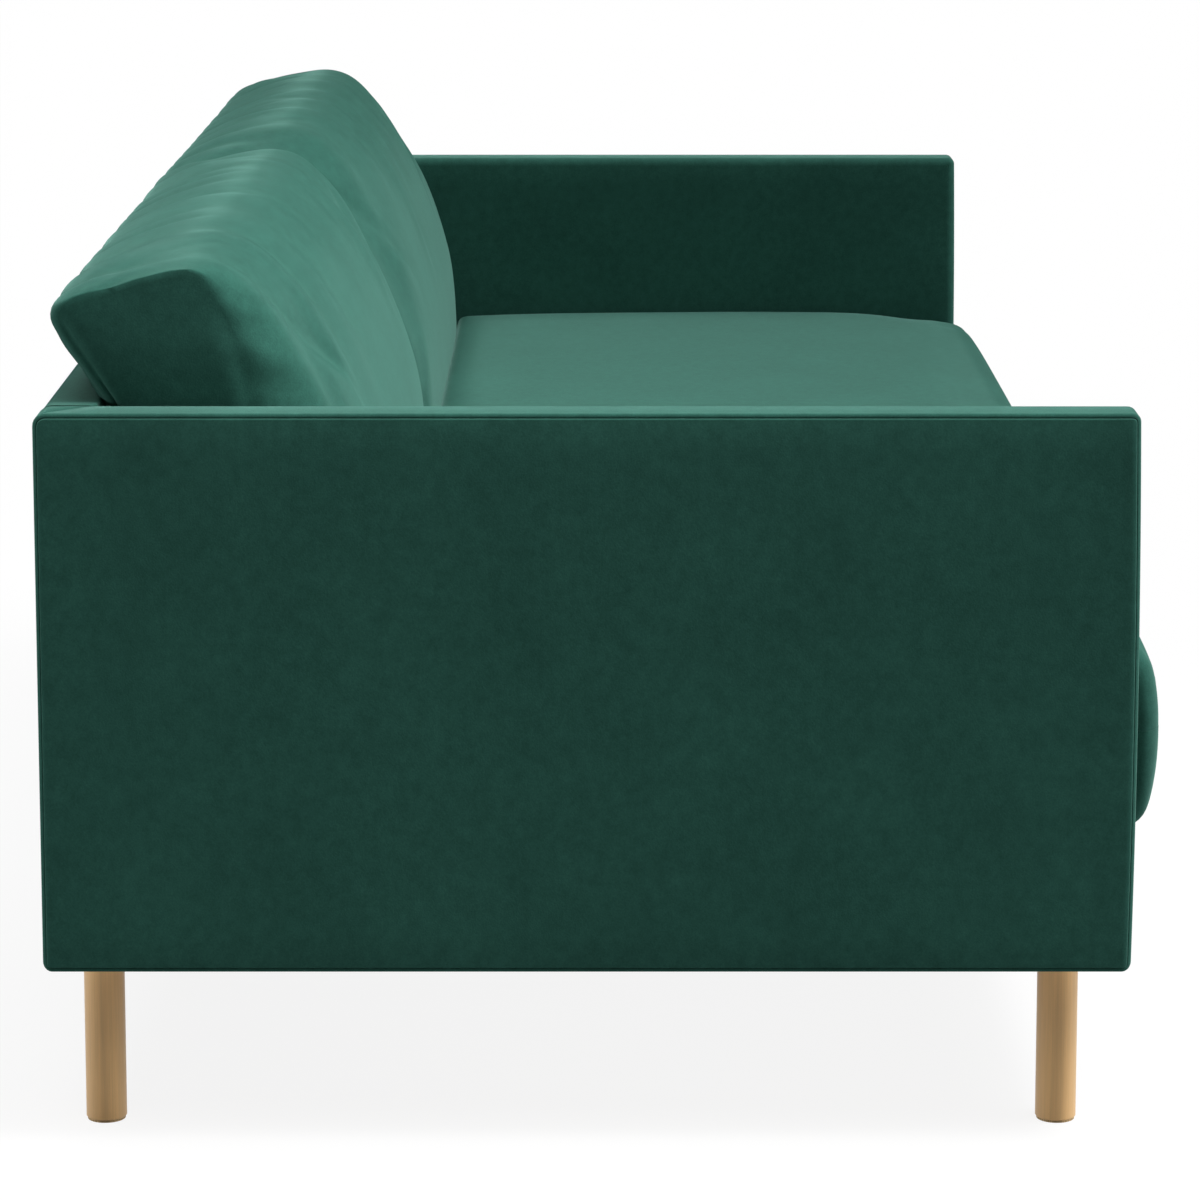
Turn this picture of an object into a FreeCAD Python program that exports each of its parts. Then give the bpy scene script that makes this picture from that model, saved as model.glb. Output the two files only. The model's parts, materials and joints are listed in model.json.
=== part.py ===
import FreeCAD, Part
import os

# Three-seat sofa bed. Two upholstered arms and a low back stand on four round wooden legs.
# The seat is a two-layer mattress hinged along its front edge. A slatted base pulls out on castors, and the
# upper mattress layer folds forward onto it. Two loose back cushions lift away.
# Millimetres, +Z up, the front faces -Y, the origin is on the floor under the middle of the sofa.
# "left" is the -X side.

Vector = FreeCAD.Vector

# Driving dimensions of the whole sofa
LENGTH = 2060.0
ARM_DEPTH = 950.0
ARM_THICK = 55.0
BASE_Z = 152.0
ARM_TOP_Z = 646.0
SEAT_OVERHANG = 29.0
SEAT_TOP_Z = 446.0
CUSHION_TOP_Z = 780.0
BED_TRAVEL = 680.0

# Planes that follow from the driving dimensions
REAR_Y = (ARM_DEPTH + SEAT_OVERHANG) / 2
ARM_FRONT_Y = REAR_Y - ARM_DEPTH
SEAT_FRONT_Y = -REAR_Y
OUTER_X = LENGTH / 2
INNER_X = OUTER_X - ARM_THICK
BACK_FACE_Y = REAR_Y - ARM_THICK

# Upholstery on the arms, back and apron: padded covers pulled over timber and stapled underneath
COVER_WALL = 7.5
COVER_EDGE_R = 6.0
CORNER_R = 12.0

# Timber inside the arms and the back
RAIL_H = 60.0
TOP_RAIL_H = 50.0
POST_W = 60.0
WEB_STRAPS = 5
WEB_W = 50.0
WEB_T = 2.0

# Base: rails that carry the slats
SIDE_RAIL_T = 50.0
SLAT_SEAT_Z = 245.0
SLAT_TOP_Z = 262.0
REAR_RAIL_T = 35.0
FRONT_RAIL_T = 30.0
FRONT_RAIL_Y = -360.0
FRONT_RAIL_Z = 172.0
BEAM_W = 45.0
BEAM_TOP_Z = 190.0
SIDE_RAIL_FRONT_Y = -427.5

# Slats: fixed and sliding ones lie alternately, as two combs
SLAT_W = 60.0
SLAT_PITCH = 154.0
FIXED_SLATS = 13
SLIDING_SLATS = FIXED_SLATS - 1
SLIDE_GAP = 0.3
NOTCH_DEPTH = 1.5
NOTCH_MARGIN = 5.0

# Apron and the sliding comb's cross members
APRON_CLEAR_X = 4.0
APRON_FRONT_Y = ARM_FRONT_Y + 4.5
APRON_T = 28.0
APRON_WALL = 4.0
APRON_Z = (BASE_Z + 1.5, SLAT_TOP_Z - 2.5)
BATTEN_T = 30.0
BATTEN_Z = 206.0
CROSS_T = 30.0
CROSS_Z = 195.0
CROSS_HALF_X = 900.0
BUMPER_T = 2.0

# Steel runners and the rollers in them
RUNNER_T = 3.0
RUNNER_DEPTH = 22.0
RUNNER_GAP = 24.0
ROLLER_Z = 205.5
ROLLER_R = 11.7
ROLLER_W = 14.0
AXLE_R = 4.0
RUNNING_GAP = 0.05

# Legs
LEG_R = 18.0
LEG_INSET_X = 66.0
FRONT_LEG_Y = -402.7
REAR_LEG_Y = 442.6
FOOT_CHAMFER = 1.0
GLIDE_T = 2.0
GLIDE_R = 16.8
PLATE_T = 3.0
PLATE_SIDE = 64.0
SCREW_R = 2.25
PLATE_SCREW_X = 22.0
PLATE_SCREW_Y = 20.0
BOLT_R = 4.0
HOLE_GAP = 0.2
CENTER_LEG_Y = 20.0

# Castors under the sliding comb
CASTOR_X = 430.0
WHEEL_R = 25.0
WHEEL_W = 20.0
FORK_T = 3.0
FORK_TOP_Z = 62.0
STEM_R = 12.5
CASTOR_PLATE_Z = BASE_Z - 5.0

# Mattress: two layers that meet on the fold plane and turn about a sewn cord at the front
FOLD_Z = 354.5
LAYER_GAP = 0.25
CORD_R = 2.0
CORD_INSET = 10.0
FOLD_Y = SEAT_FRONT_Y + CORD_R
MATTRESS_HALF_X = INNER_X - 5.0
SEAT_REAR_Y = 186.0
SEAT_CROWN = 9.0
SEAT_END_DROP = 8.0
SEAT_END_RECEDE = 4.0
REAR_BULGE = 3.0
REAR_CORNER = 18.0
LOWER_REAR_Y = BACK_FACE_Y - 4.0

# The seat's rounded nose, as points this far behind the fold line and at this height.
# It is deepest on the fold plane, so that the two layers meet nose to nose when the bed is open.
NOSE_FOLD_BACK = 0.3
NOSE_UPPER_FACE = (1.1, 380.0)
NOSE_UPPER_SHOULDER = (3.5, 405.0)
NOSE_UPPER_ROUND = (13.4, 428.0)
NOSE_TOP = (34.0, 442.5)
NOSE_LOWER_FACE = (1.1, 328.5)
NOSE_CHIN = (3.5, 303.0)
NOSE_CHIN_ROUND = (10.8, 280.3)
NOSE_FOOT = (26.0, SLAT_TOP_Z)

# Slices across a cushion, from -1 at one end to 1 at the other. The ends tuck in over the last stretch.
TUCK_START = 0.94
HALF_STATIONS = (0.35, 0.7, TUCK_START, 0.985, 1.0)
STATIONS = [-u for u in reversed(HALF_STATIONS)] + [0.0] + list(HALF_STATIONS)
SEAT_TUCK = 8.0
CUSHION_TUCK = 14.0

# Back cushions
CUSHION_GAP = 4.0
CUSHION_SIDE_GAP = 3.0
CUSHION_END_DROP = 16.0
CUSHION_END_RECEDE = 18.0

nodes = {}


def box(x_range, y_range, z_range):
    low = Vector(min(x_range), min(y_range), min(z_range))
    size = Vector(max(x_range), max(y_range), max(z_range)) - low
    return Part.makeBox(size.x, size.y, size.z, low)


def rod(start, end, radius):
    start = Vector(*start)
    along = Vector(*end) - start
    return Part.makeCylinder(radius, along.Length, start, along)


def cut(shape, tools):
    return shape.cut(Part.makeCompound(list(tools))) if tools else shape


def group(solids):
    return Part.makeCompound(list(solids))


def mirrored_pair(side, inner, outer):
    """The X range between two distances from the middle, on the side -1 or +1."""
    return sorted((side * inner, side * outer))


def outline(x, start, steps):
    """A closed wire in the plane at x. Each step ends a line, or has a way point and ends an arc."""
    edges = []
    here = Vector(x, *start)
    for step in steps:
        end = Vector(x, *step[-1])
        if len(step) == 1:
            edges.append(Part.LineSegment(here, end).toShape())
        else:
            edges.append(Part.Arc(here, Vector(x, *step[0]), end).toShape())
        here = end
    return Part.Wire(edges)


def slackness(u):
    """How slack a cushion is across its width, 0 in the middle and 1 at either end."""
    return abs(u) ** 3


def tuck(u):
    """How far a cushion's end is tucked in, 0 until the last stretch and 1 at the end itself."""
    return max(0.0, (abs(u) - TUCK_START) / (1.0 - TUCK_START)) ** 2


def rounded_panel(x_range, y_range, z_range):
    """An upholstered panel with a round rear top corner, softened along its upright and top edges."""
    panel = box(x_range, y_range, z_range)
    top = max(z_range)
    spans = [(edge, edge.BoundBox) for edge in panel.Edges]
    corner = [edge for edge, span in spans if span.ZMin > top - 1 and span.YMin > max(y_range) - 1]
    panel = panel.makeFillet(CORNER_R, corner)
    spans = [(edge, edge.BoundBox) for edge in panel.Edges]
    sides = [edge for edge, span in spans if span.ZMax > min(z_range) + 1 and span.XLength < 1]
    front = [edge for edge, span in spans if span.ZMin > top - 1 and span.YMax < min(y_range) + 1]
    return panel.makeFillet(COVER_EDGE_R, sides + front)


# Fasteners come first, because the pieces that they pass through are drilled for them.


def leg_places():
    """The four legs as name, x and y."""
    for side, hand in ((-1, "left"), (1, "right")):
        for end, y in (("front", FRONT_LEG_Y), ("rear", REAR_LEG_Y)):
            yield f"{end}_{hand}_leg", side * (OUTER_X - LEG_INSET_X), y


def plate_screw_places():
    for _, x, y in leg_places():
        for dx in (-PLATE_SCREW_X, PLATE_SCREW_X):
            for dy in (-PLATE_SCREW_Y, PLATE_SCREW_Y):
                yield x + dx, y + dy


PLATE_SCREW_LENGTH = 40.0
PLATE_Z = BASE_Z - PLATE_T


def plate_screws(radius):
    return [
        rod((x, y, PLATE_Z), (x, y, PLATE_Z + PLATE_SCREW_LENGTH), radius)
        for x, y in plate_screw_places()
    ]


STUD_BELOW = 40.0


def leg_studs(radius):
    return [rod((x, y, PLATE_Z - STUD_BELOW), (x, y, BASE_Z), radius) for _, x, y in leg_places()]


ARM_BOLT_YS = (-300.0, 0.0, 300.0)
ARM_BOLT_Z = 171.0
BOLT_HEAD_R = 8.0
BOLT_HEAD_T = 5.0
ARM_BOLT_REACH = 30.0


def arm_bolts(radius, with_heads):
    bolts = []
    inner = INNER_X - SIDE_RAIL_T
    for side in (-1, 1):
        for y in ARM_BOLT_YS:
            tip = side * (INNER_X + ARM_BOLT_REACH)
            bolt = rod((side * inner, y, ARM_BOLT_Z), (tip, y, ARM_BOLT_Z), radius)
            if with_heads:
                head_end = side * (inner - BOLT_HEAD_T)
                head = rod((side * inner, y, ARM_BOLT_Z), (head_end, y, ARM_BOLT_Z), BOLT_HEAD_R)
                bolt = bolt.fuse(head).removeSplitter()
            bolts.append(bolt)
    return bolts


BACK_BOLT_XS = (-600.0, -200.0, 200.0, 600.0)
BACK_BOLT_Z = 190.0
BACK_BOLT_REACH = 36.0


def back_bolts(radius, with_heads):
    bolts = []
    front = BACK_FACE_Y - REAR_RAIL_T
    for x in BACK_BOLT_XS:
        tip = BACK_FACE_Y + BACK_BOLT_REACH
        bolt = rod((x, front, BACK_BOLT_Z), (x, tip, BACK_BOLT_Z), radius)
        if with_heads:
            head = rod((x, front, BACK_BOLT_Z), (x, front - BOLT_HEAD_T, BACK_BOLT_Z), BOLT_HEAD_R)
            bolt = bolt.fuse(head).removeSplitter()
        bolts.append(bolt)
    return bolts


def fixed_slat_xs():
    return [SLAT_PITCH * (i - (FIXED_SLATS - 1) / 2) for i in range(FIXED_SLATS)]


def sliding_slat_xs():
    return [SLAT_PITCH * (i - (SLIDING_SLATS - 1) / 2) for i in range(SLIDING_SLATS)]


SLAT_SCREW_LENGTH = 38.0
FRONT_RAIL_MID_Y = FRONT_RAIL_Y - FRONT_RAIL_T / 2
REAR_RAIL_MID_Y = BACK_FACE_Y - REAR_RAIL_T / 2


def slat_screws(xs, ys, top_z, radius):
    return [rod((x, y, top_z - SLAT_SCREW_LENGTH), (x, y, top_z), radius) for x in xs for y in ys]


def fixed_slat_screws(radius):
    return slat_screws(fixed_slat_xs(), (FRONT_RAIL_MID_Y, REAR_RAIL_MID_Y), SLAT_TOP_Z, radius)


APRON_REAR_Y = APRON_FRONT_Y + APRON_T
BATTEN_MID_Y = APRON_REAR_Y + BATTEN_T / 2
CROSS_FRONT_Y = FRONT_RAIL_Y + BUMPER_T + BED_TRAVEL + SLIDE_GAP
CROSS_MID_Y = CROSS_FRONT_Y + CROSS_T / 2
SLIDING_SEAT_Z = SLAT_SEAT_Z + SLIDE_GAP
SLIDING_TOP_Z = SLAT_TOP_Z - SLIDE_GAP


def sliding_slat_screws(radius):
    return slat_screws(sliding_slat_xs(), (BATTEN_MID_Y, CROSS_MID_Y), SLIDING_TOP_Z, radius)


APRON_SCREW_XS = [SLAT_PITCH * n for n in (-5, -3, -1, 1, 3, 5)]
APRON_SCREW_Z = 224.0
APRON_SCREW_REACH = 14.0


def apron_screws(radius):
    front = APRON_REAR_Y - APRON_SCREW_REACH
    rear = APRON_REAR_Y + BATTEN_T
    return [rod((x, front, APRON_SCREW_Z), (x, rear, APRON_SCREW_Z), radius) for x in APRON_SCREW_XS]


SCREW_HOLE_R = SCREW_R + HOLE_GAP
BOLT_HOLE_R = BOLT_R + HOLE_GAP
plate_holes = plate_screws(SCREW_HOLE_R)
stud_holes = leg_studs(BOLT_HOLE_R)
arm_bolt_holes = arm_bolts(BOLT_HOLE_R, with_heads=False)
back_bolt_holes = back_bolts(BOLT_HOLE_R, with_heads=False)
fixed_slat_holes = fixed_slat_screws(SCREW_HOLE_R)
sliding_slat_holes = sliding_slat_screws(SCREW_HOLE_R)
apron_holes = apron_screws(SCREW_HOLE_R)


# Arms


def arm(side, hand):
    x_range = mirrored_pair(side, INNER_X, OUTER_X)
    y_range = (ARM_FRONT_Y, REAR_Y)
    z_range = (BASE_Z, ARM_TOP_Z)
    cover = rounded_panel(x_range, y_range, z_range)
    hollow_x = mirrored_pair(side, INNER_X + COVER_WALL, OUTER_X - COVER_WALL)
    front = ARM_FRONT_Y + COVER_WALL
    rear = REAR_Y - COVER_WALL
    top = ARM_TOP_Z - COVER_WALL
    cover = cover.cut(box(hollow_x, (front, rear), (BASE_Z - 1, top)))
    nodes[f"{hand}_arm_cover"] = cut(cover, arm_bolt_holes)

    rail_z = (BASE_Z, BASE_Z + RAIL_H)
    top_z = (top - TOP_RAIL_H, top)
    post_z = (rail_z[1], top_z[0])
    middle = (front + rear - POST_W) / 2
    members = [box(hollow_x, (front, rear), z) for z in (rail_z, top_z)]
    members += [box(hollow_x, (y, y + POST_W), post_z) for y in (front, middle, rear - POST_W)]
    holes = arm_bolt_holes + plate_holes
    nodes[f"{hand}_arm_frame"] = group(cut(m, holes) for m in members)


# Back


def back():
    half = INNER_X
    cover = rounded_panel((-half, half), (BACK_FACE_Y, REAR_Y), (BASE_Z, ARM_TOP_Z))
    half -= COVER_WALL
    front = BACK_FACE_Y + COVER_WALL
    rear = REAR_Y - COVER_WALL
    top = ARM_TOP_Z - COVER_WALL
    cover = cover.cut(box((-half, half), (front, rear), (BASE_Z - 1, top)))
    nodes["back_cover"] = cut(cover, back_bolt_holes)

    timber_y = (front + WEB_T, rear)
    rail_z = (BASE_Z, BASE_Z + RAIL_H)
    top_z = (top - TOP_RAIL_H, top)
    members = [box((-half, half), timber_y, z) for z in (rail_z, top_z)]
    post_step = (2 * half - POST_W) / 3
    for i in range(4):
        x = -half + i * post_step
        members.append(box((x, x + POST_W), timber_y, (rail_z[1], top_z[0])))
    holes = back_bolt_holes + plate_holes
    nodes["back_frame"] = group(cut(m, holes) for m in members)

    clear = (top_z[0] - rail_z[1]) / WEB_STRAPS
    straps = []
    for i in range(WEB_STRAPS):
        z = rail_z[1] + clear * (i + 0.5) - WEB_W / 2
        straps.append(box((-half, half), (front, front + WEB_T), (z, z + WEB_W)))
    nodes["back_webbing"] = group(straps)


# Base frame with its fixed slats


def base_frame():
    inner = INNER_X - SIDE_RAIL_T
    for side, hand in ((-1, "left"), (1, "right")):
        rail = box(
            mirrored_pair(side, inner, INNER_X),
            (SIDE_RAIL_FRONT_Y, BACK_FACE_Y),
            (BASE_Z, SLAT_SEAT_Z),
        )
        nodes[f"{hand}_side_rail"] = cut(rail, arm_bolt_holes + plate_holes + fixed_slat_holes)

    rear_y = (BACK_FACE_Y - REAR_RAIL_T, BACK_FACE_Y)
    rear = box((-inner, inner), rear_y, (BASE_Z, SLAT_SEAT_Z))
    nodes["rear_rail"] = cut(rear, back_bolt_holes + fixed_slat_holes)

    front_y = (FRONT_RAIL_Y - FRONT_RAIL_T, FRONT_RAIL_Y)
    front = box((-inner, inner), front_y, (FRONT_RAIL_Z, SLAT_SEAT_Z))
    nodes["front_rail"] = cut(front, fixed_slat_holes)

    beam_y = (FRONT_RAIL_Y, rear_y[0])
    nodes["center_beam"] = box((-BEAM_W / 2, BEAM_W / 2), beam_y, (BASE_Z, BEAM_TOP_Z))

    slat_y = (front_y[0], BACK_FACE_Y)
    slats = [
        box((x - SLAT_W / 2, x + SLAT_W / 2), slat_y, (SLAT_SEAT_Z, SLAT_TOP_Z))
        for x in fixed_slat_xs()
    ]
    nodes["fixed_slats"] = group(cut(s, fixed_slat_holes) for s in slats)
    nodes["fixed_slat_screws"] = group(fixed_slat_screws(SCREW_R))

    bumper_x = 500.0
    bumper_w = 30.0
    bumper_z = (CROSS_Z + 10.0, SLAT_SEAT_Z - 10.0)
    nodes["stop_bumpers"] = group(
        box((x, x + bumper_w), (FRONT_RAIL_Y, FRONT_RAIL_Y + BUMPER_T), bumper_z)
        for x in (-bumper_x - bumper_w, bumper_x)
    )

    sheet = box((-inner, inner), (FRONT_RAIL_Y + BUMPER_T, BACK_FACE_Y), (BASE_Z - 1.5, BASE_Z))
    leg_hole = rod((0, CENTER_LEG_Y, 0), (0, CENTER_LEG_Y, BASE_Z), LEG_R + 1.0)
    nodes["dust_cover"] = sheet.cut(leg_hole)


def runners():
    inner = INNER_X - SIDE_RAIL_T
    channel_y = (FRONT_RAIL_Y + BUMPER_T, BACK_FACE_Y - REAR_RAIL_T - 1.0)
    half_gap = RUNNER_GAP / 2
    for side, hand in ((-1, "left"), (1, "right")):
        whole = box(
            mirrored_pair(side, inner - RUNNER_DEPTH, inner),
            channel_y,
            (ROLLER_Z - half_gap - RUNNER_T, ROLLER_Z + half_gap + RUNNER_T),
        )
        slot = box(
            mirrored_pair(side, inner - RUNNER_DEPTH - 1, inner - RUNNER_T),
            (channel_y[0] - 1, channel_y[1] + 1),
            (ROLLER_Z - half_gap, ROLLER_Z + half_gap),
        )
        nodes[f"{hand}_runner"] = whole.cut(slot)


# Legs


def legs():
    for name, x, y in leg_places():
        leg = rod((x, y, GLIDE_T), (x, y, PLATE_Z), LEG_R)
        foot = [e for e in leg.Edges if abs(e.BoundBox.ZMax - GLIDE_T) < 0.01 and e.Closed]
        leg = leg.makeChamfer(FOOT_CHAMFER, foot)
        nodes[name] = cut(leg, stud_holes)
    nodes["center_leg"] = rod((0, CENTER_LEG_Y, GLIDE_T), (0, CENTER_LEG_Y, BASE_Z), LEG_R)

    half = PLATE_SIDE / 2
    plates = [box((x - half, x + half), (y - half, y + half), (PLATE_Z, BASE_Z)) for _, x, y in leg_places()]
    nodes["leg_plates"] = group(cut(p, stud_holes + plate_holes) for p in plates)
    nodes["leg_studs"] = group(leg_studs(BOLT_R))
    nodes["plate_screws"] = group(plate_screws(SCREW_R))
    feet = [(x, y) for _, x, y in leg_places()] + [(0, CENTER_LEG_Y)]
    nodes["leg_glides"] = group(rod((x, y, 0), (x, y, GLIDE_T), GLIDE_R) for x, y in feet)


# Sliding comb: apron, slats, cross bar, rollers and castors


def apron():
    half = INNER_X - APRON_CLEAR_X
    cover = rounded_apron(half)
    hollow_half = half - APRON_WALL
    board_y = (APRON_FRONT_Y + APRON_WALL, APRON_REAR_Y - APRON_WALL)
    board_z = (APRON_Z[0], APRON_Z[1] - APRON_WALL)
    cover = cover.cut(box((-hollow_half, hollow_half), board_y, (board_z[0] - 1, board_z[1])))
    nodes["apron_cover"] = cut(cover, apron_holes)
    board = box((-hollow_half, hollow_half), board_y, board_z)
    nodes["apron_board"] = cut(board, apron_holes)

    batten_y = (APRON_REAR_Y, APRON_REAR_Y + BATTEN_T)
    batten = box((-CROSS_HALF_X, CROSS_HALF_X), batten_y, (BATTEN_Z, SLIDING_SEAT_Z))
    nodes["apron_batten"] = cut(batten, apron_holes + sliding_slat_holes)
    nodes["apron_screws"] = group(apron_screws(SCREW_R))

    tab_half = 45.0
    tab_t = 5.0
    tab_drop = 26.0
    tab_y = APRON_FRONT_Y + APRON_T / 2
    tab_foot_z = APRON_Z[0] - tab_drop
    tab = box((-tab_half, tab_half), (tab_y - tab_t / 2, tab_y + tab_t / 2), (tab_foot_z, APRON_Z[0]))
    foot_edges = [e for e in tab.Edges if abs(e.BoundBox.ZMax - tab_foot_z) < 0.01]
    corners = [e for e in foot_edges if e.BoundBox.YLength > tab_t / 2]
    nodes["pull_tab"] = tab.makeFillet(tab_t * 2, corners)


def rounded_apron(half):
    edge_r = 3.0
    panel = box((-half, half), (APRON_FRONT_Y, APRON_REAR_Y), APRON_Z)
    front_edges = [e for e in panel.Edges if abs(e.BoundBox.YMax - APRON_FRONT_Y) < 0.01]
    return panel.makeFillet(edge_r, front_edges)


def sliding_comb():
    slat_y = (APRON_REAR_Y, CROSS_FRONT_Y + CROSS_T)
    slats = [
        box((x - SLAT_W / 2, x + SLAT_W / 2), slat_y, (SLIDING_SEAT_Z, SLIDING_TOP_Z))
        for x in sliding_slat_xs()
    ]
    nodes["sliding_slats"] = group(cut(s, sliding_slat_holes) for s in slats)
    nodes["sliding_slat_screws"] = group(sliding_slat_screws(SCREW_R))

    bar_y = (CROSS_FRONT_Y, CROSS_FRONT_Y + CROSS_T)
    bar = box((-CROSS_HALF_X, CROSS_HALF_X), bar_y, (CROSS_Z, SLIDING_SEAT_Z))
    notch_half = SLAT_W / 2 + NOTCH_MARGIN
    notch_z = (SLIDING_SEAT_Z - NOTCH_DEPTH, SLIDING_SEAT_Z)
    notches = [box((x - notch_half, x + notch_half), bar_y, notch_z) for x in fixed_slat_xs()]
    axle_in = 30.0
    end_play = 1.5
    axle_out = INNER_X - SIDE_RAIL_T - RUNNER_T - end_play / 2
    axles = []
    sockets = []
    for side, hand in ((-1, "left"), (1, "right")):
        start = (side * (CROSS_HALF_X - axle_in), CROSS_MID_Y, ROLLER_Z)
        end = (side * axle_out, CROSS_MID_Y, ROLLER_Z)
        axles.append(rod(start, end, AXLE_R))
        sockets.append(rod(start, end, AXLE_R + RUNNING_GAP))
        roller_end = axle_out - end_play
        roller_start = roller_end - ROLLER_W
        roller = rod(
            (side * roller_start, CROSS_MID_Y, ROLLER_Z),
            (side * roller_end, CROSS_MID_Y, ROLLER_Z),
            ROLLER_R,
        )
        nodes[f"{hand}_runner_roller"] = roller.cut(sockets[-1])
    nodes["slide_crossbar"] = cut(bar, notches + sliding_slat_holes + sockets)
    nodes["roller_axles"] = group(axles)


def castors():
    plate_half = 30.0
    crown_half = 14.0
    cheek_half = 9.0
    end_play = 1.5
    tread_r = 2.5
    blocks = []
    stems = []
    forks = []
    axles = []
    block_y = (APRON_REAR_Y, APRON_REAR_Y + BATTEN_T)
    y = BATTEN_MID_Y
    cheek_in = WHEEL_W / 2 + end_play
    cheek_z = (WHEEL_R - cheek_half, FORK_TOP_Z - FORK_T)
    cheek_out = cheek_in + FORK_T
    for side, hand in ((-1, "left"), (1, "right")):
        x = side * CASTOR_X
        plate_x = (x - plate_half, x + plate_half)
        blocks.append(box(plate_x, block_y, (CASTOR_PLATE_Z + FORK_T, BATTEN_Z)))
        plate = box(plate_x, block_y, (CASTOR_PLATE_Z, CASTOR_PLATE_Z + FORK_T))
        stem = rod((x, y, FORK_TOP_Z), (x, y, CASTOR_PLATE_Z), STEM_R)
        stems.append(plate.fuse(stem).removeSplitter())
        crown_y = (y - crown_half, y + crown_half)
        crown = box((x - cheek_out, x + cheek_out), crown_y, (FORK_TOP_Z - FORK_T, FORK_TOP_Z))
        cheek_y = (y - cheek_half, y + cheek_half)
        cheeks = [box((x + s * cheek_in, x + s * cheek_out), cheek_y, cheek_z) for s in (-1, 1)]
        bore = rod((x - cheek_out, y, WHEEL_R), (x + cheek_out, y, WHEEL_R), AXLE_R + RUNNING_GAP)
        forks.append(crown.fuse(cheeks).removeSplitter().cut(bore))
        axles.append(rod((x - cheek_out, y, WHEEL_R), (x + cheek_out, y, WHEEL_R), AXLE_R))
        wheel = rod((x - WHEEL_W / 2, y, WHEEL_R), (x + WHEEL_W / 2, y, WHEEL_R), WHEEL_R)
        wheel = wheel.makeFillet(tread_r, [e for e in wheel.Edges if e.Closed])
        nodes[f"{hand}_castor_wheel"] = wheel.cut(bore)
    nodes["castor_blocks"] = group(blocks)
    nodes["castor_stems"] = group(stems)
    nodes["castor_forks"] = group(forks)
    nodes["castor_axles"] = group(axles)


# Mattress layers


def loft(wires):
    solid = Part.makeLoft(wires, True, True)
    if solid.Volume < 0:
        solid.reverse()
    return solid


def upper_layer_outline(u):
    drop = SEAT_END_DROP * slackness(u) + SEAT_TUCK * tuck(u)
    recede = SEAT_END_RECEDE * slackness(u) + SEAT_TUCK * tuck(u)
    floor_z = FOLD_Z + LAYER_GAP
    crown_z = SEAT_TOP_Z - drop
    edge_z = crown_z - SEAT_CROWN

    def nose(point, slack):
        """A point on the nose, let back and down by a share of the slack at the ends."""
        return FOLD_Y + point[0] + slack * recede, point[1] - slack * drop

    fold = (FOLD_Y + NOSE_FOLD_BACK, floor_z)
    rear_foot = (SEAT_REAR_Y, floor_z)
    rear_swell = (SEAT_REAR_Y + REAR_BULGE, (floor_z + edge_z) / 2 - REAR_CORNER / 4)
    rear_shoulder = (SEAT_REAR_Y, edge_z - REAR_CORNER)
    rear_round = (SEAT_REAR_Y - REAR_CORNER / 4, edge_z - REAR_CORNER / 4)
    rear_top = (SEAT_REAR_Y - REAR_CORNER, edge_z)
    crown = ((SEAT_REAR_Y + FOLD_Y) / 2, crown_z)
    steps = [
        (rear_foot,),
        (rear_swell, rear_shoulder),
        (rear_round, rear_top),
        (crown, nose(NOSE_TOP, 1.0)),
        (nose(NOSE_UPPER_ROUND, 0.8), nose(NOSE_UPPER_SHOULDER, 0.45)),
        (nose(NOSE_UPPER_FACE, 0.15), fold),
    ]
    return outline(u * MATTRESS_HALF_X, fold, steps)


def lower_layer_outline(u):
    recede = SEAT_END_RECEDE * slackness(u) + SEAT_TUCK * tuck(u)
    top_z = FOLD_Z - LAYER_GAP

    def nose(point, slack):
        """A point on the nose, let back by a share of the slack at the ends."""
        return FOLD_Y + point[0] + slack * recede, point[1]

    fold = (FOLD_Y + NOSE_FOLD_BACK, top_z)
    rear_top = (LOWER_REAR_Y, top_z)
    rear_swell = (LOWER_REAR_Y + REAR_BULGE, (top_z + SLAT_TOP_Z) / 2)
    rear_foot = (LOWER_REAR_Y, SLAT_TOP_Z)
    steps = [
        (rear_top,),
        (rear_swell, rear_foot),
        (nose(NOSE_FOOT, 1.0),),
        (nose(NOSE_CHIN_ROUND, 0.8), nose(NOSE_CHIN, 0.45)),
        (nose(NOSE_LOWER_FACE, 0.15), fold),
    ]
    return outline(u * MATTRESS_HALF_X, fold, steps)


def mattress():
    half = MATTRESS_HALF_X
    reach = half - CORD_INSET
    cord = rod((-reach, FOLD_Y, FOLD_Z), (reach, FOLD_Y, FOLD_Z), CORD_R)
    groove = rod((-half, FOLD_Y, FOLD_Z), (half, FOLD_Y, FOLD_Z), CORD_R + LAYER_GAP)
    nodes["mattress_hinge_cord"] = cord
    nodes["upper_mattress"] = loft([upper_layer_outline(u) for u in STATIONS]).cut(groove)
    nodes["lower_mattress"] = loft([lower_layer_outline(u) for u in STATIONS]).cut(groove)


# Back cushions


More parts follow.
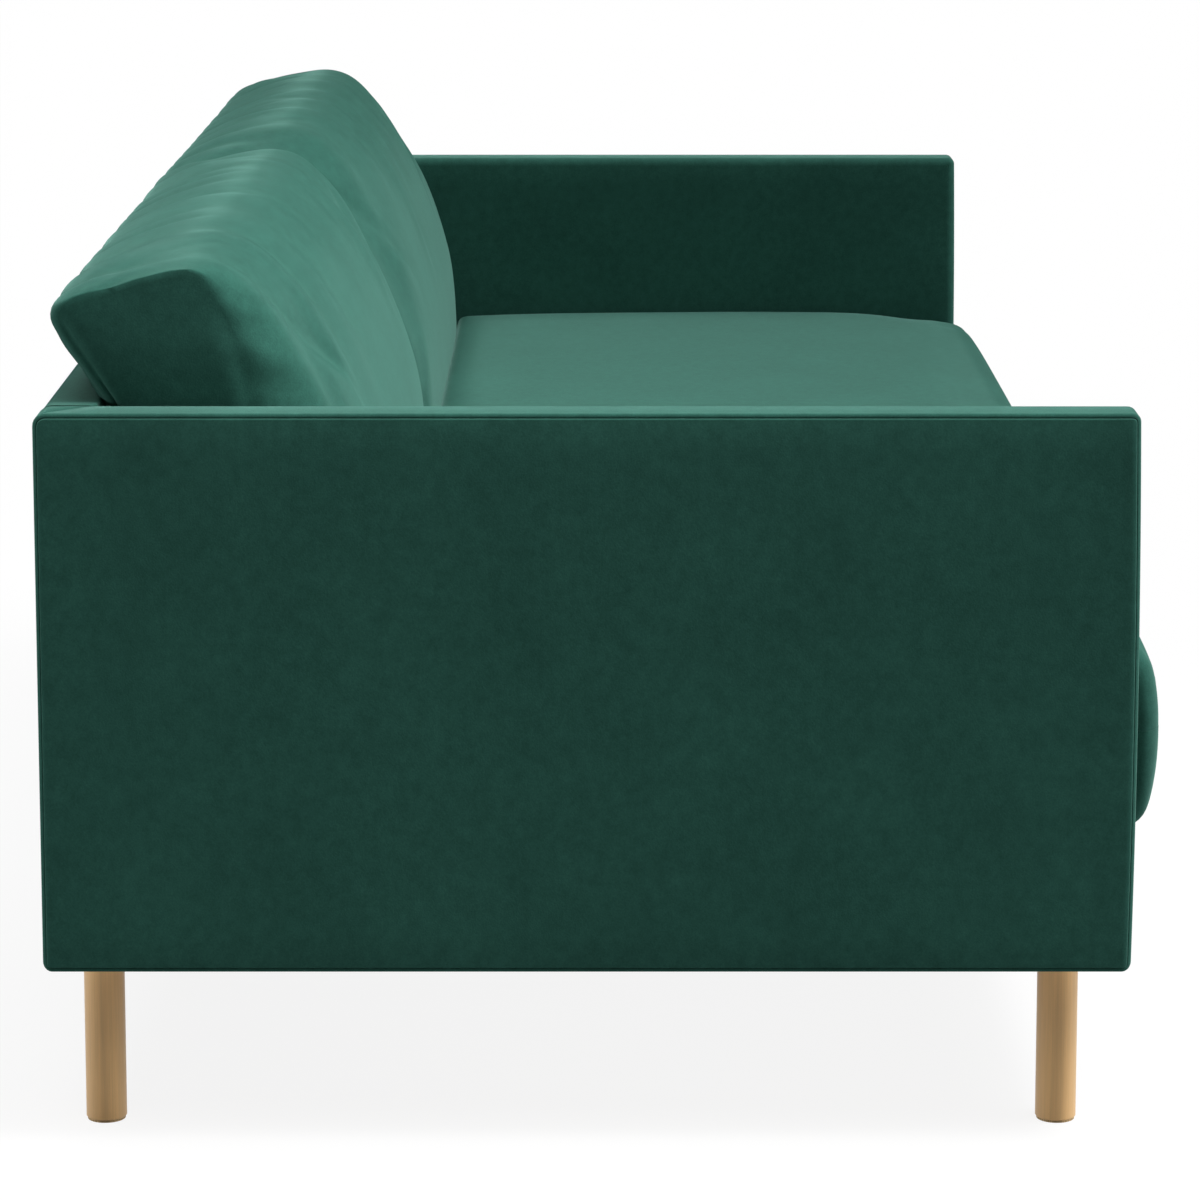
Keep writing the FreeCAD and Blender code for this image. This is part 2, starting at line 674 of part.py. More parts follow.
def cushion_outline(x, u):
    """One slice of a back cushion, which leans back over the top of the back."""
    drop = CUSHION_END_DROP * slackness(u) + CUSHION_TUCK * tuck(u)
    recede = CUSHION_END_RECEDE * slackness(u) + CUSHION_TUCK * tuck(u)
    floor_z = FOLD_Z + LAYER_GAP

    def forward(distance, z):
        """A point this far in front of the sofa's rear face."""
        return REAR_Y - distance, z

    rear_foot = forward(62, floor_z)
    ledge = forward(58.5, ARM_TOP_Z - 6)
    rear_top = forward(9 + recede / 2, 717 - drop / 2)
    top_swell = forward(46, 752 - drop / 2)
    crown = forward(132, CUSHION_TOP_Z - drop)
    brow_round = forward(172, 766 - drop)
    brow = forward(204 - recede / 2, 733 - drop)
    chest_round = forward(252 - recede, 640)
    chest = forward(288 - recede, 552)
    belly = forward(297 - recede, 440)
    front_foot = forward(284 - recede, floor_z)
    steps = [
        (ledge,),
        (rear_top,),
        (top_swell, crown),
        (brow_round, brow),
        (chest_round, chest),
        (belly, front_foot),
        (rear_foot,),
    ]
    return outline(x, rear_foot, steps)


def back_cushions():
    inner = CUSHION_GAP / 2
    outer = INNER_X - CUSHION_SIDE_GAP
    half = (outer - inner) / 2
    for side, hand in ((-1, "left"), (1, "right")):
        middle = side * (inner + half)
        wires = [cushion_outline(middle + u * half, u) for u in STATIONS]
        nodes[f"{hand}_back_cushion"] = loft(wires)


def build():
    for side, hand in ((-1, "left"), (1, "right")):
        arm(side, hand)
    back()
    base_frame()
    runners()
    legs()
    nodes["arm_bolts"] = group(arm_bolts(BOLT_R, with_heads=True))
    nodes["back_bolts"] = group(back_bolts(BOLT_R, with_heads=True))
    apron()
    sliding_comb()
    castors()
    mattress()
    back_cushions()


build()
os.makedirs("parts", exist_ok=True)
for name, shape in nodes.items():
    shape.exportStep(f"parts/{name}.step")
    sound = all(solid.isValid() and solid.Volume > 0 for solid in shape.Solids)
    state = "sound" if sound else "BROKEN"
    print(f"{name}: {len(shape.Solids)} solids, {shape.Volume / 1e6:.3f} litres, {state}")
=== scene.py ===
import json
import math
from contextlib import contextmanager

import bmesh
import bpy
import numpy as np
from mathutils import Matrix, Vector, noise


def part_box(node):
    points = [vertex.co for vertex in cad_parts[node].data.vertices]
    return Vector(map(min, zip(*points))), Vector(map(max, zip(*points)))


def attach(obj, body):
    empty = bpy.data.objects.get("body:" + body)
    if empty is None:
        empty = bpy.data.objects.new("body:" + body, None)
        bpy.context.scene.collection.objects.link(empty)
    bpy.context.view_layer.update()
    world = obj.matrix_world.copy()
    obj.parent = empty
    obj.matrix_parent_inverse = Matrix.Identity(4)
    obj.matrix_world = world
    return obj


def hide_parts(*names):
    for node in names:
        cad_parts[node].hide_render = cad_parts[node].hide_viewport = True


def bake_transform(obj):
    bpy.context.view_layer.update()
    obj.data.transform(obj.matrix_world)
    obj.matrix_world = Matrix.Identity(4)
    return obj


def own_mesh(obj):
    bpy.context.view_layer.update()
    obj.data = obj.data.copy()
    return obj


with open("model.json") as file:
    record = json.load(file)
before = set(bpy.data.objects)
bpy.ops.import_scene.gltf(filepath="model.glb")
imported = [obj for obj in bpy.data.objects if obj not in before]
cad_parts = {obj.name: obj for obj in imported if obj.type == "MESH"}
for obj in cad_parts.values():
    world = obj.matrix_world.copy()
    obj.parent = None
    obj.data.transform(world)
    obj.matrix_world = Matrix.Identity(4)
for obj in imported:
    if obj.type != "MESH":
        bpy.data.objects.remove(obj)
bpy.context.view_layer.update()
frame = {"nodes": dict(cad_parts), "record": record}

bl_info = {
    "name": "Sofa Bed Upholstery",
    "version": (1, 0, 0),
    "blender": (4, 5, 0),
    "location": "3D View > Sidebar > Sofa Bed",
    "description": "Dresses the sofa bed's frame in velvet, cushions and wood",
    "category": "Object",
}

AXES = (Vector((1, 0, 0)), Vector((0, 1, 0)), Vector((0, 0, 1)))
JOINTS = {joint["name"]: joint for joint in frame["record"]["behaviour"]["joints"]}
HINGE = Vector(JOINTS["mattress_unfold"]["pos_m"])
REAR_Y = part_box("back_cover")[1].y


# Settings


def colour_setting(name, description, default):
    return bpy.props.FloatVectorProperty(
        name=name, description=description, subtype="COLOR", size=3, min=0, max=1, default=default)


def length_setting(name, description, default, least, most):
    return bpy.props.FloatProperty(
        name=name, description=description, unit="LENGTH", default=default, min=least, max=most)


def strength_setting(name, description, default):
    return bpy.props.FloatProperty(name=name, description=description, default=default, min=0)


class SofaColours(bpy.types.PropertyGroup):
    """Colours of the finishes, as linear light."""

    velvet: colour_setting(
        "Velvet", "Pile of the covers and cushions, seen square on", (0.028, 0.102, 0.079))
    velvet_sheen: colour_setting(
        "Velvet sheen", "Light that the tips of the pile scatter at a flat angle", (0.46, 0.86, 0.75))
    oak: colour_setting("Oak", "Lacquered legs", (0.80, 0.49, 0.205))
    pine: colour_setting("Pine", "Planed timber of the frames and rails", (0.60, 0.42, 0.22))
    birch: colour_setting("Birch", "Laminated slats", (0.66, 0.48, 0.28))
    zinc: colour_setting("Zinc", "Plated screws, bolts, plates and runners", (0.42, 0.43, 0.44))


class SofaUpholstery(bpy.types.PropertyGroup):
    """Sizes of the sewn and padded work."""

    seam_width: length_setting(
        "Seam width", "Lip between a boxing strip and the seam beside it", 0.0004, 0.0001, 0.005)
    rim_radius: length_setting(
        "Rim radius", "Rounding of a boxing strip beside the seam", 0.0028, 0.0005, 0.008)
    seam_depth: length_setting("Seam depth", "How deep the seam pulls in", 0.0012, 0.0, 0.006)
    face_rise: length_setting(
        "Face rise", "How far a sewn-on face stands above its boxing strip at the seam", 0.0016, 0.0, 0.02)
    wrapped_edge: length_setting(
        "Wrapped edge", "Radius of an edge where the cover runs on without a seam", 0.010, 0.001, 0.02)
    face_crown: length_setting("Face crown", "Further rise of a face in its middle", 0.0022, 0.0, 0.02)
    edge_roll: length_setting(
        "Edge roll", "How far a sewn face and its strip fall away along upright edges", 0.0040, 0.0, 0.008)
    roll_reach: length_setting(
        "Roll reach", "How far from the upright edges that roll begins", 0.0095, 0.001, 0.03)
    front_bow: length_setting(
        "Front bow", "How far an arm's front edge bows out at mid height", 0.0022, 0.0, 0.01)
    pucker_pitch: length_setting(
        "Pucker pitch", "Distance between the puckers along a back cushion's rear seam", 0.098, 0.03, 0.3)
    pucker_depth: length_setting("Pucker depth", "Height of the puckers at the seam", 0.0125, 0.0, 0.02)
    fold_count: bpy.props.IntProperty(
        name="Folds", description="Soft folds over the brow of a back cushion", default=8, min=0, max=40)
    fold_depth: length_setting("Fold depth", "Height of the largest fold", 0.0066, 0.0, 0.02)
    dent_depth: length_setting(
        "Dent depth", "Depth of the dents across the ends of a back cushion", 0.0030, 0.0, 0.01)
    cushion_swell: length_setting(
        "Cushion swell", "Most that a back cushion's cover may move as it fills", 0.009, 0.0, 0.05)
    seat_swell: length_setting(
        "Seat swell", "Most that a mattress cover may move as it fills", 0.004, 0.0, 0.05)


class SofaStage(bpy.types.PropertyGroup):
    """Camera and light."""

    camera_place: bpy.props.FloatVectorProperty(
        name="Camera place", description="Where the camera stands",
        subtype="TRANSLATION", unit="LENGTH", size=3, default=(-4.7061, 0.0022, 1.2683))
    camera_tilt: bpy.props.FloatProperty(
        name="Camera tilt", description="How far the camera looks down",
        subtype="ANGLE", default=math.radians(8.891))
    camera_lens: bpy.props.FloatProperty(
        name="Lens", description="Focal length on a 36 mm sensor",
        subtype="DISTANCE_CAMERA", unit="CAMERA", default=131.0)
    lamp_strength: strength_setting("Overhead light", "Strength of the even light from above", 2.95)
    rear_strength: strength_setting("Rear light", "Strength of the low light from the rear", 1.3)
    near_power: bpy.props.FloatProperty(
        name="Near light", description="Power of the soft lamp high over the left end",
        unit="POWER", default=540, min=0)
    front_strength: strength_setting("Front light", "Strength of the low light from the front", 1.4)
    fill_strength: strength_setting("Fill", "Strength of the light from all round", 0.02)


# Modelling helpers

# Cosine above which two directions count as the same, and distance within which two places do
SAME_WAY = 0.999
SAME_PLACE = 1e-4


def deselect_all():
    active = bpy.context.view_layer.objects.active
    if active is not None and active.mode != "OBJECT":
        bpy.ops.object.mode_set(mode="OBJECT")
    bpy.ops.object.select_all(action="DESELECT")


def select_only(piece):
    deselect_all()
    piece.select_set(True)
    bpy.context.view_layer.objects.active = piece


@contextmanager
def editing(piece):
    select_only(piece)
    bpy.ops.object.mode_set(mode="EDIT")
    yield
    bpy.ops.object.mode_set(mode="OBJECT")


def add_piece(name, add, **settings):
    """Adds a primitive, a lamp or a camera by its operator and names it."""
    deselect_all()
    add(**settings)
    piece = bpy.context.view_layer.objects.active
    piece.name = name
    piece.data.name = name
    return piece


def add_block(name, low, high):
    """A cube primitive between two corners, with its place in its mesh."""
    low, high = Vector(low), Vector(high)
    block = add_piece(name, bpy.ops.mesh.primitive_cube_add, size=1, location=(low + high) / 2)
    block.scale = high - low
    bpy.ops.object.transform_apply(location=True, rotation=True, scale=True)
    return block


def pick(kind, test):
    """Selects the vertices, edges or faces of the piece in edit mode that pass a test, and nothing else."""
    bpy.ops.mesh.select_mode(type=kind)
    bpy.ops.mesh.select_all(action="DESELECT")
    mesh = bpy.context.object.data
    shape = bmesh.from_edit_mesh(mesh)
    shape.verts.index_update()
    parts = {"VERT": shape.verts, "EDGE": shape.edges, "FACE": shape.faces}[kind]
    for part in parts:
        if test(part):
            part.select_set(True)
    shape.select_flush_mode()
    bmesh.update_edit_mesh(mesh)


def runs_along(edge, axis):
    step = edge.verts[1].co - edge.verts[0].co
    return abs(step[axis]) > SAME_WAY * step.length


def on_rim(edge, axis, place):
    """Whether an edge lies across an axis at a place along it."""
    return not runs_along(edge, axis) and all(abs(vert.co[axis] - place) < 1e-5 for vert in edge.verts)


def middle(edge):
    return (edge.verts[0].co + edge.verts[1].co) / 2


def round_edges(radius, segments):
    """Rounds the chosen edges of the piece in edit mode."""
    bpy.ops.mesh.bevel(offset=radius, segments=segments, affect="EDGES")


def slice_piece(axis, places):
    """Cuts the piece in edit mode across an axis, without taking anything away."""
    for place in places:
        bpy.ops.mesh.select_all(action="SELECT")
        bpy.ops.mesh.bisect(plane_co=AXES[axis] * place, plane_no=AXES[axis])


def spread(low, high, pitch):
    """Evenly spaced places between two ends, about a pitch apart."""
    count = max(2, round((high - low) / pitch))
    return [low + (high - low) * i / count for i in range(1, count)]


def vertex_vectors(piece, kind):
    flat = np.empty(len(piece.data.vertices) * 3, dtype=np.float32)
    piece.data.vertices.foreach_get(kind, flat)
    return flat.reshape(-1, 3).astype(float)


def points_of(piece):
    return vertex_vectors(piece, "co")


def normals_of(piece):
    return vertex_vectors(piece, "normal")


def set_points(piece, points):
    piece.data.vertices.foreach_set("co", points.astype(np.float32).ravel())
    piece.data.update()


def push_out(piece, distances):
    """Moves each point of a piece along its normal."""
    set_points(piece, points_of(piece) + normals_of(piece) * distances[:, None])


def apply_modifier(piece, modifier):
    select_only(piece)
    bpy.ops.object.modifier_apply(modifier=modifier.name)


def shade(piece, angle):
    """Smooths a piece's shading, except where its faces meet at more than an angle in degrees."""
    select_only(piece)
    bpy.ops.object.shade_smooth_by_angle(angle=math.radians(angle))


def thicken(piece, thickness, offset):
    modifier = piece.modifiers.new("Thickness", "SOLIDIFY")
    modifier.thickness = thickness
    modifier.offset = offset
    apply_modifier(piece, modifier)


def subdivide_smooth(piece):
    modifier = piece.modifiers.new("Smooth", "SUBSURF")
    modifier.levels = 1
    modifier.render_levels = 1
    apply_modifier(piece, modifier)


def dress(piece, material, slot, body, *nodes):
    """Gives a new piece its finish, the body it moves with and the CAD nodes that it stands for."""
    piece.data.materials.clear()
    piece.data.materials.append(material)
    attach(piece, body)
    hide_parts(*nodes)


def ease(value):
    """A smooth step from 0 to 1."""
    value = np.clip(value, 0.0, 1.0)
    return value * value * (3.0 - 2.0 * value)


def rough(values, scale, seed):
    """Smooth uneven numbers between about -1 and 1 along a line."""
    return np.array([noise.noise(Vector((value * scale, seed, 0.5))) for value in values]) * 1.6


# Soft shapes: a block cut into a grid, wrapped on a section that has four sides


def line_through(points, curved=True):
    """A line by its share of length, from 0 at the first point to 1 at the last."""
    points = np.array(points, dtype=float)
    if curved:
        ends = np.vstack([2 * points[0] - points[1], points, 2 * points[-1] - points[-2]])
        steps = np.linspace(0, 1, 12, endpoint=False)[:, None]
        parts = []
        for a, b, c, d in zip(ends, ends[1:], ends[2:], ends[3:]):
            parts.append(0.5 * (2 * b + (c - a) * steps + (2 * a - 5 * b + 4 * c - d) * steps ** 2
                                + (3 * b - 3 * c + d - a) * steps ** 3))
        points = np.vstack(parts + [points[-1:]])
    lengths = np.insert(np.cumsum(np.linalg.norm(np.diff(points, axis=0), axis=1)), 0, 0.0)
    lengths /= lengths[-1]
    return lambda share: np.column_stack([np.interp(share, lengths, points[:, i]) for i in (0, 1)])


def section_points(rear, front, bottom, top, s, t):
    """Where a point at s from the rear and t from the bottom lies on a section with these four sides."""
    s1 = s[:, None]
    t1 = t[:, None]
    sides = (1 - s1) * rear(t) + s1 * front(t) + (1 - t1) * bottom(s) + t1 * top(s)
    zero = np.zeros(1)
    one = np.ones(1)
    corners = ((1 - s1) * (1 - t1) * rear(zero) + (1 - s1) * t1 * rear(one)
               + s1 * (1 - t1) * front(zero) + s1 * t1 * front(one))
    return sides - corners


CORNER_CELLS = 8
RELAX_STEPS = 400
# A point this far out, as a share of its piece's half length, lies on an end
AT_END = 0.9999


def grid_block(name, cells, half, radius):
    """A unit block cut into cells, and its points as u across, s from the rear and t from the bottom.

    u runs from -1 to 1, and the last cells before each end lie evenly round a corner of this radius.
    """
    block = add_block(name, (0, 0, 0), (1, 1, 1))
    with editing(block):
        for axis in range(3):
            pick("EDGE", lambda edge: runs_along(edge, axis))
            bpy.ops.mesh.subdivide(number_cuts=cells[axis] - 1)
    points = points_of(block)
    along = np.abs(points[:, 0] * 2 - 1)
    straight = 1 - 2 * CORNER_CELLS / cells[0]
    turn = np.clip((along - straight) / (1 - straight), 0, 1) * math.pi / 2
    x = np.where(along < straight, (half - radius) * along / straight, half - radius + radius * np.sin(turn))
    return block, np.sign(points[:, 0] - 0.5) * x / half, 1 - points[:, 1], points[:, 2]


def relax_ends(place, u, s, t):
    """Spreads the points inside each end of a block evenly between those on its rim."""
    s, t = np.round(s, 4), np.round(t, 4)
    for side in (-1, 1):
        on_end = np.nonzero(u * side > AT_END)[0]
        on_end = on_end[np.lexsort((t[on_end], s[on_end]))]
        grid = place[on_end].reshape(len(np.unique(s[on_end])), -1, 2)
        for _ in range(RELAX_STEPS):
            grid[1:-1, 1:-1] = (grid[:-2, 1:-1] + grid[2:, 1:-1] + grid[1:-1, :-2] + grid[1:-1, 2:]) / 4
        place[on_end] = grid.reshape(-1, 2)


def corner_round(u, half, radius):
    """How far a round corner has turned in at u, from 0 to 1 at the very end."""
    reach = np.clip((np.abs(u) * half - (half - radius)) / radius, 0.0, 1.0)
    return 1.0 - np.sqrt(1.0 - reach ** 2)


FILL_STEPS = 20
# The share of its sinking that the filling pushes back out
FILL_SUPPORT = 0.7


def fill_with_air(piece, held, pressure, spare_cloth, cap, give=1.0):
    """Lets a sewn cover swell by cloth simulation.

    Held points stay, no point moves further than the cap, and the filling lets none sink far.
    Give is the share of its movement that each point keeps.
    """
    before = points_of(piece)
    outward = normals_of(piece)
    sewn = piece.vertex_groups.new(name="sewn")
    sewn.add([int(i) for i in np.nonzero(held)[0]], 1.0, "REPLACE")
    modifier = piece.modifiers.new("Filling", "CLOTH")
    cloth = modifier.settings
    cloth.quality = 6
    cloth.mass = 0.25
    cloth.tension_stiffness = 12
    cloth.compression_stiffness = 12
    cloth.shear_stiffness = 4
    cloth.bending_stiffness = 0.35
    cloth.use_pressure = True
    cloth.uniform_pressure_force = pressure
    cloth.shrink_min = -spare_cloth
    cloth.vertex_group_mass = sewn.name
    cloth.effector_weights.gravity = 0
    modifier.point_cache.frame_start = 1
    modifier.point_cache.frame_end = FILL_STEPS
    scene = bpy.context.scene
    for step in range(1, FILL_STEPS + 1):
        scene.frame_set(step)
    apply_modifier(piece, modifier)
    scene.frame_set(1)
    piece.vertex_groups.clear()
    moved = points_of(piece) - before
    sunk = np.minimum((moved * outward).sum(axis=1), 0.0)
    moved -= FILL_SUPPORT * sunk[:, None] * outward
    length = np.linalg.norm(moved, axis=1)
    share = np.minimum(1.0, cap / np.maximum(length, 1e-9)) * give
    set_points(piece, before + moved * share[:, None])


def crease(piece, marked, weight):
    """Keeps the edges between marked points sharp when the piece is smoothed."""
    with editing(piece):
        pick("EDGE", lambda edge: all(marked[v.index] for v in edge.verts))
        bpy.ops.transform.edge_crease(value=weight)


# Finishes


def add_socket(group, direction, name, kind):
    return group.interface.new_socket(name=name, in_out=direction, socket_type=f"NodeSocket{kind}")


def place_node(tree, kind, **settings):
    """A node with its settings, and with a value or a link for each input that is named."""
    node = tree.nodes.new(kind)
    for key, value in settings.items():
        if key not in node.inputs:
            setattr(node, key, value)
        elif isinstance(value, bpy.types.NodeSocket):
            tree.links.new(value, node.inputs[key])
        else:
            node.inputs[key].default_value = value
    return node


def ramp(tree, source, low, high, reach=(0.0, 1.0)):
    """Maps a value from its own reach to between two limits."""
    limits = {"From Min": reach[0], "From Max": reach[1], "To Min": low, "To Max": high}
    return place_node(tree, "ShaderNodeMapRange", Value=source, **limits).outputs["Result"]


def noise_value(tree, vector, scale, detail, roughness=0.55):
    settings = {"Scale": scale, "Detail": detail, "Roughness": roughness}
    return place_node(tree, "ShaderNodeTexNoise", Vector=vector, **settings).outputs["Fac"]


def scaled(tree, vector, scale):
    return place_node(tree, "ShaderNodeMapping", Vector=vector, Scale=scale).outputs["Vector"]


def tint(tree, colour, factor):
    """A colour made lighter or darker by a factor."""
    node = place_node(tree, "ShaderNodeVectorMath", operation="SCALE")
    tree.links.new(colour, node.inputs[0])
    tree.links.new(factor, node.inputs["Scale"])
    return node.outputs["Vector"]


def combine(tree, operation, first, *others):
    """One value from two or more by a math operation."""
    for other in others:
        node = place_node(tree, "ShaderNodeMath", operation=operation)
        tree.links.new(first, node.inputs[0])
        tree.links.new(other, node.inputs[1])
        first = node.outputs["Value"]
    return first


def new_group(name):
    group = bpy.data.node_groups.new(name, "ShaderNodeTree")
    add_socket(group, "INPUT", "Colour", "Color").default_value = (0.5, 0.5, 0.5, 1)
    add_socket(group, "INPUT", "Vector", "Vector")
    add_socket(group, "OUTPUT", "Colour", "Color")
    add_socket(group, "OUTPUT", "Roughness", "Float")
    add_socket(group, "OUTPUT", "Height", "Float")
    return group, group.nodes.new("NodeGroupInput").outputs["Vector"]


def close_group(group, shift, roughness, height):
    """Sends out a group's colour shifted by a factor, its roughness and its height."""
    colour = tint(group, group.nodes["Group Input"].outputs["Colour"], shift)
    place_node(group, "NodeGroupOutput", Colour=colour, Roughness=roughness, Height=height)
    return group


def velvet_pile():
    """Nap that lies unevenly in soft clouds, over short pile."""
    group, vector = new_group("Velvet pile")
    clouds = noise_value(group, vector, 9.0, 5.0, 0.6)
    brushed = noise_value(group, vector, 85.0, 4.0, 0.65)
    pile = noise_value(group, vector, 620.0, 2.0, 0.6)
    reach = (0.3, 0.7)
    shift = combine(group, "MULTIPLY", ramp(group, clouds, 0.91, 1.09, reach),
                    ramp(group, brushed, 0.88, 1.12, reach), ramp(group, pile, 0.90, 1.10, reach))
    height = combine(group, "ADD", pile, ramp(group, brushed, 0.0, 0.7))
    return close_group(group, shift, ramp(group, clouds, 0.82, 0.96), height)


def wood_grain():
    """Long fibres with early and late wood. The vector runs along the grain on its Z axis."""
    group, vector = new_group("Wood grain")
    rings = noise_value(group, scaled(group, vector, (55.0, 55.0, 2.2)), 1.0, 3.0, 0.5)
    fibres = noise_value(group, scaled(group, vector, (520.0, 520.0, 9.0)), 1.0, 3.0, 0.6)
    pores = noise_value(group, scaled(group, vector, (1500.0, 1500.0, 40.0)), 1.0, 1.0, 0.5)
    shift = combine(group, "MULTIPLY", ramp(group, rings, 0.78, 1.20), ramp(group, fibres, 0.84, 1.14),
                    ramp(group, pores, 0.94, 1.05))
    return close_group(group, shift, ramp(group, fibres, 0.38, 0.56), fibres)


def worn_surface():
    """Fine brushed and smudged unevenness of plated metal, moulded plastic and rubber."""
    group, vector = new_group("Worn surface")
    smudges = noise_value(group, vector, 30.0, 4.0, 0.6)
    specks = noise_value(group, vector, 900.0, 2.0, 0.5)
    shift = combine(group, "MULTIPLY", ramp(group, smudges, 0.86, 1.12), ramp(group, specks, 0.92, 1.08))
    return close_group(group, shift, ramp(group, smudges, 0.30, 0.52), specks)


def woven_cloth():
    """Plain weave of lining and webbing."""
    group, vector = new_group("Woven cloth")
    threads = []
    for direction in ("X", "Y"):
        wave = place_node(group, "ShaderNodeTexWave", Vector=vector, Scale=190.0, bands_direction=direction)
        threads.append(wave.outputs["Fac"])
    weave = combine(group, "MULTIPLY", *threads)
    fuzz = noise_value(group, vector, 300.0, 3.0)
    shift = combine(group, "MULTIPLY", ramp(group, weave, 0.75, 1.25), ramp(group, fuzz, 0.85, 1.15))
    return close_group(group, shift, ramp(group, fuzz, 0.80, 0.95), weave)


def finish(name, make_effect, colour, bump, bump_size, turn=(0, 0, 0), **shader_values):
    """A material whose colour, roughness and relief come from one of the shared effects."""
    name = f"{name} finish"
    if name in bpy.data.materials:
        return bpy.data.materials[name]
    material = bpy.data.materials.new(name)
    material.use_nodes = True
    tree = material.node_tree
    shader = tree.nodes["Principled BSDF"]
    for key, value in shader_values.items():
        shader.inputs[key.replace("_", " ")].default_value = value
    effect = tree.nodes.new("ShaderNodeGroup")
    title = make_effect.__name__.replace("_", " ").capitalize()
    effect.node_tree = bpy.data.node_groups.get(title) or make_effect()
    effect.inputs["Colour"].default_value = (*colour, 1)
    place = tree.nodes.new("ShaderNodeTexCoord").outputs["Object"]
    turned = place_node(tree, "ShaderNodeMapping", Vector=place, Rotation=turn)
    tree.links.new(turned.outputs["Vector"], effect.inputs["Vector"])
    relief = place_node(tree, "ShaderNodeBump", Strength=bump, Distance=bump_size,
                        Height=effect.outputs["Height"])
    tree.links.new(effect.outputs["Colour"], shader.inputs["Base Color"])
    tree.links.new(effect.outputs["Roughness"], shader.inputs["Roughness"])
    tree.links.new(relief.outputs["Normal"], shader.inputs["Normal"])
    return material


def velvet():
    colours = bpy.context.scene.sofa_colours
    return finish("velvet", velvet_pile, colours.velvet, 0.25, 0.0006, Sheen_Weight=0.40,
                  Sheen_Roughness=0.40, Sheen_Tint=(*colours.velvet_sheen, 1), Specular_IOR_Level=0.0)


GRAIN_TURNS = {"x": (0, math.radians(90), 0), "y": (math.radians(90), 0, 0), "z": (0, 0, 0)}


def timber(species, grain, coat=0.0):
    """Wood with its grain along an axis, under a coat of lacquer."""
    colour = getattr(bpy.context.scene.sofa_colours, species)
    return finish(f"{species}_along_{grain}", wood_grain, colour, 0.12, 0.0005, GRAIN_TURNS[grain],
                  Coat_Weight=coat, Coat_Roughness=0.35)


# Boxed upholstery on the arms, back and apron

# The area above which a face of a panel is one of its broad sides, and not part of its strip
BROAD_FACE = 0.01
GROOVE_WIDTH = 0.0009
PANEL_PITCH = 0.035
PANEL_SHADE_ANGLE = 38
# Extra cuts beside a panel's upright edges, where its faces roll over
EDGE_CUTS = (0.0061, 0.0072, 0.0083, 0.0096, 0.013)


def boxed_panel(name, low, high, axis, corner_radii, wrapped_side=0):
    """A boxing strip round a panel, with a crowned face sewn on at each side across an axis.

    On a wrapped side the strip runs on over the face instead, with a soft edge and no seam.
    """
    sizes = bpy.context.scene.sofa_upholstery
    low, high = Vector(low), Vector(high)
    rise = sizes.face_rise + sizes.face_crown
    low[axis] += sizes.face_crown if wrapped_side < 0 else rise
    high[axis] -= sizes.face_crown if wrapped_side > 0 else rise
    across = 1 - axis
    panel = add_block(name, low, high)
    with editing(panel):
        for (end, level), radius in corner_radii.items():
            corner = (high if end == "rear" else low)[across], (high if level == "top" else low).z
            pick("EDGE", lambda edge: runs_along(edge, axis)
                 and abs(middle(edge)[across] - corner[0]) < SAME_PLACE
                 and abs(middle(edge).z - corner[1]) < SAME_PLACE)
            round_edges(radius, 6)
        for side in (-1, 1):
            rim = (high if side > 0 else low)[axis]
            wrapped = side == wrapped_side
            pick("EDGE", lambda edge: on_rim(edge, axis, rim))
            round_edges(sizes.wrapped_edge if wrapped else sizes.rim_radius, 6)
            if wrapped:
                continue
            outward = AXES[axis] * side
            pick("FACE", lambda face: face.normal.dot(outward) > SAME_WAY and face.calc_area() > BROAD_FACE)
            bpy.ops.mesh.inset(thickness=sizes.seam_width)
            bpy.ops.mesh.inset(thickness=GROOVE_WIDTH, depth=-sizes.seam_depth)
            bpy.ops.mesh.extrude_region_move(
                TRANSFORM_OT_translate={"value": outward * (sizes.seam_depth + sizes.face_rise)})
            bpy.ops.mesh.region_to_loop()
            round_edges(sizes.face_rise * 0.7, 4)
        for cut_axis in (across, 2):
            slice_piece(cut_axis, spread(low[cut_axis], high[cut_axis], PANEL_PITCH))
        for step in EDGE_CUTS:
            slice_piece(across, (low[across] + step, high[across] - step))
    crown_faces(panel, low, high, axis, wrapped_side)
    return panel


def crown_faces(panel, low, high, axis, wrapped_side):
    """Lets the faces swell in their middle, and the sewn-on ones fall away along their upright edges."""
    sizes = bpy.context.scene.sofa_upholstery
    points = points_of(panel)
    centre = (np.array(low) + np.array(high)) / 2
    half = (np.array(high) - np.array(low)) / 2
    across = 1 - axis
    a, b = [np.clip((points[:, i] - centre[i]) / half[i], -1, 1) for i in (across, 2)]
    side = np.sign(points[:, axis] - centre[axis])
    above_strip = np.abs(points[:, axis] - centre[axis]) - half[axis]
    from_edge = half[across] - np.abs(points[:, across] - centre[across])
    roll = sizes.edge_roll * np.clip(1 - from_edge / sizes.roll_reach, 0, 1) ** 2
    wrapped = side == wrapped_side
    roll *= ~wrapped & (above_strip > -1.01 * sizes.rim_radius)
    swell = sizes.face_crown * (1 - np.abs(a) ** 5) * (1 - np.abs(b) ** 5)
    swell *= np.where(wrapped, ease(above_strip / 0.0005 + 1), ease(above_strip / (0.6 * sizes.face_rise)))
    points[:, axis] += side * (swell - roll)
    set_points(panel, points)


def finish_panel(panel, body, node):
    shade(panel, PANEL_SHADE_ANGLE)
    dress(panel, velvet(), "velvet", body, node)


ARM_CORNERS = {("rear", "top"): 0.012, ("front", "top"): 0.008, ("rear", "bottom"): 0.008,
               ("front", "bottom"): 0.008}


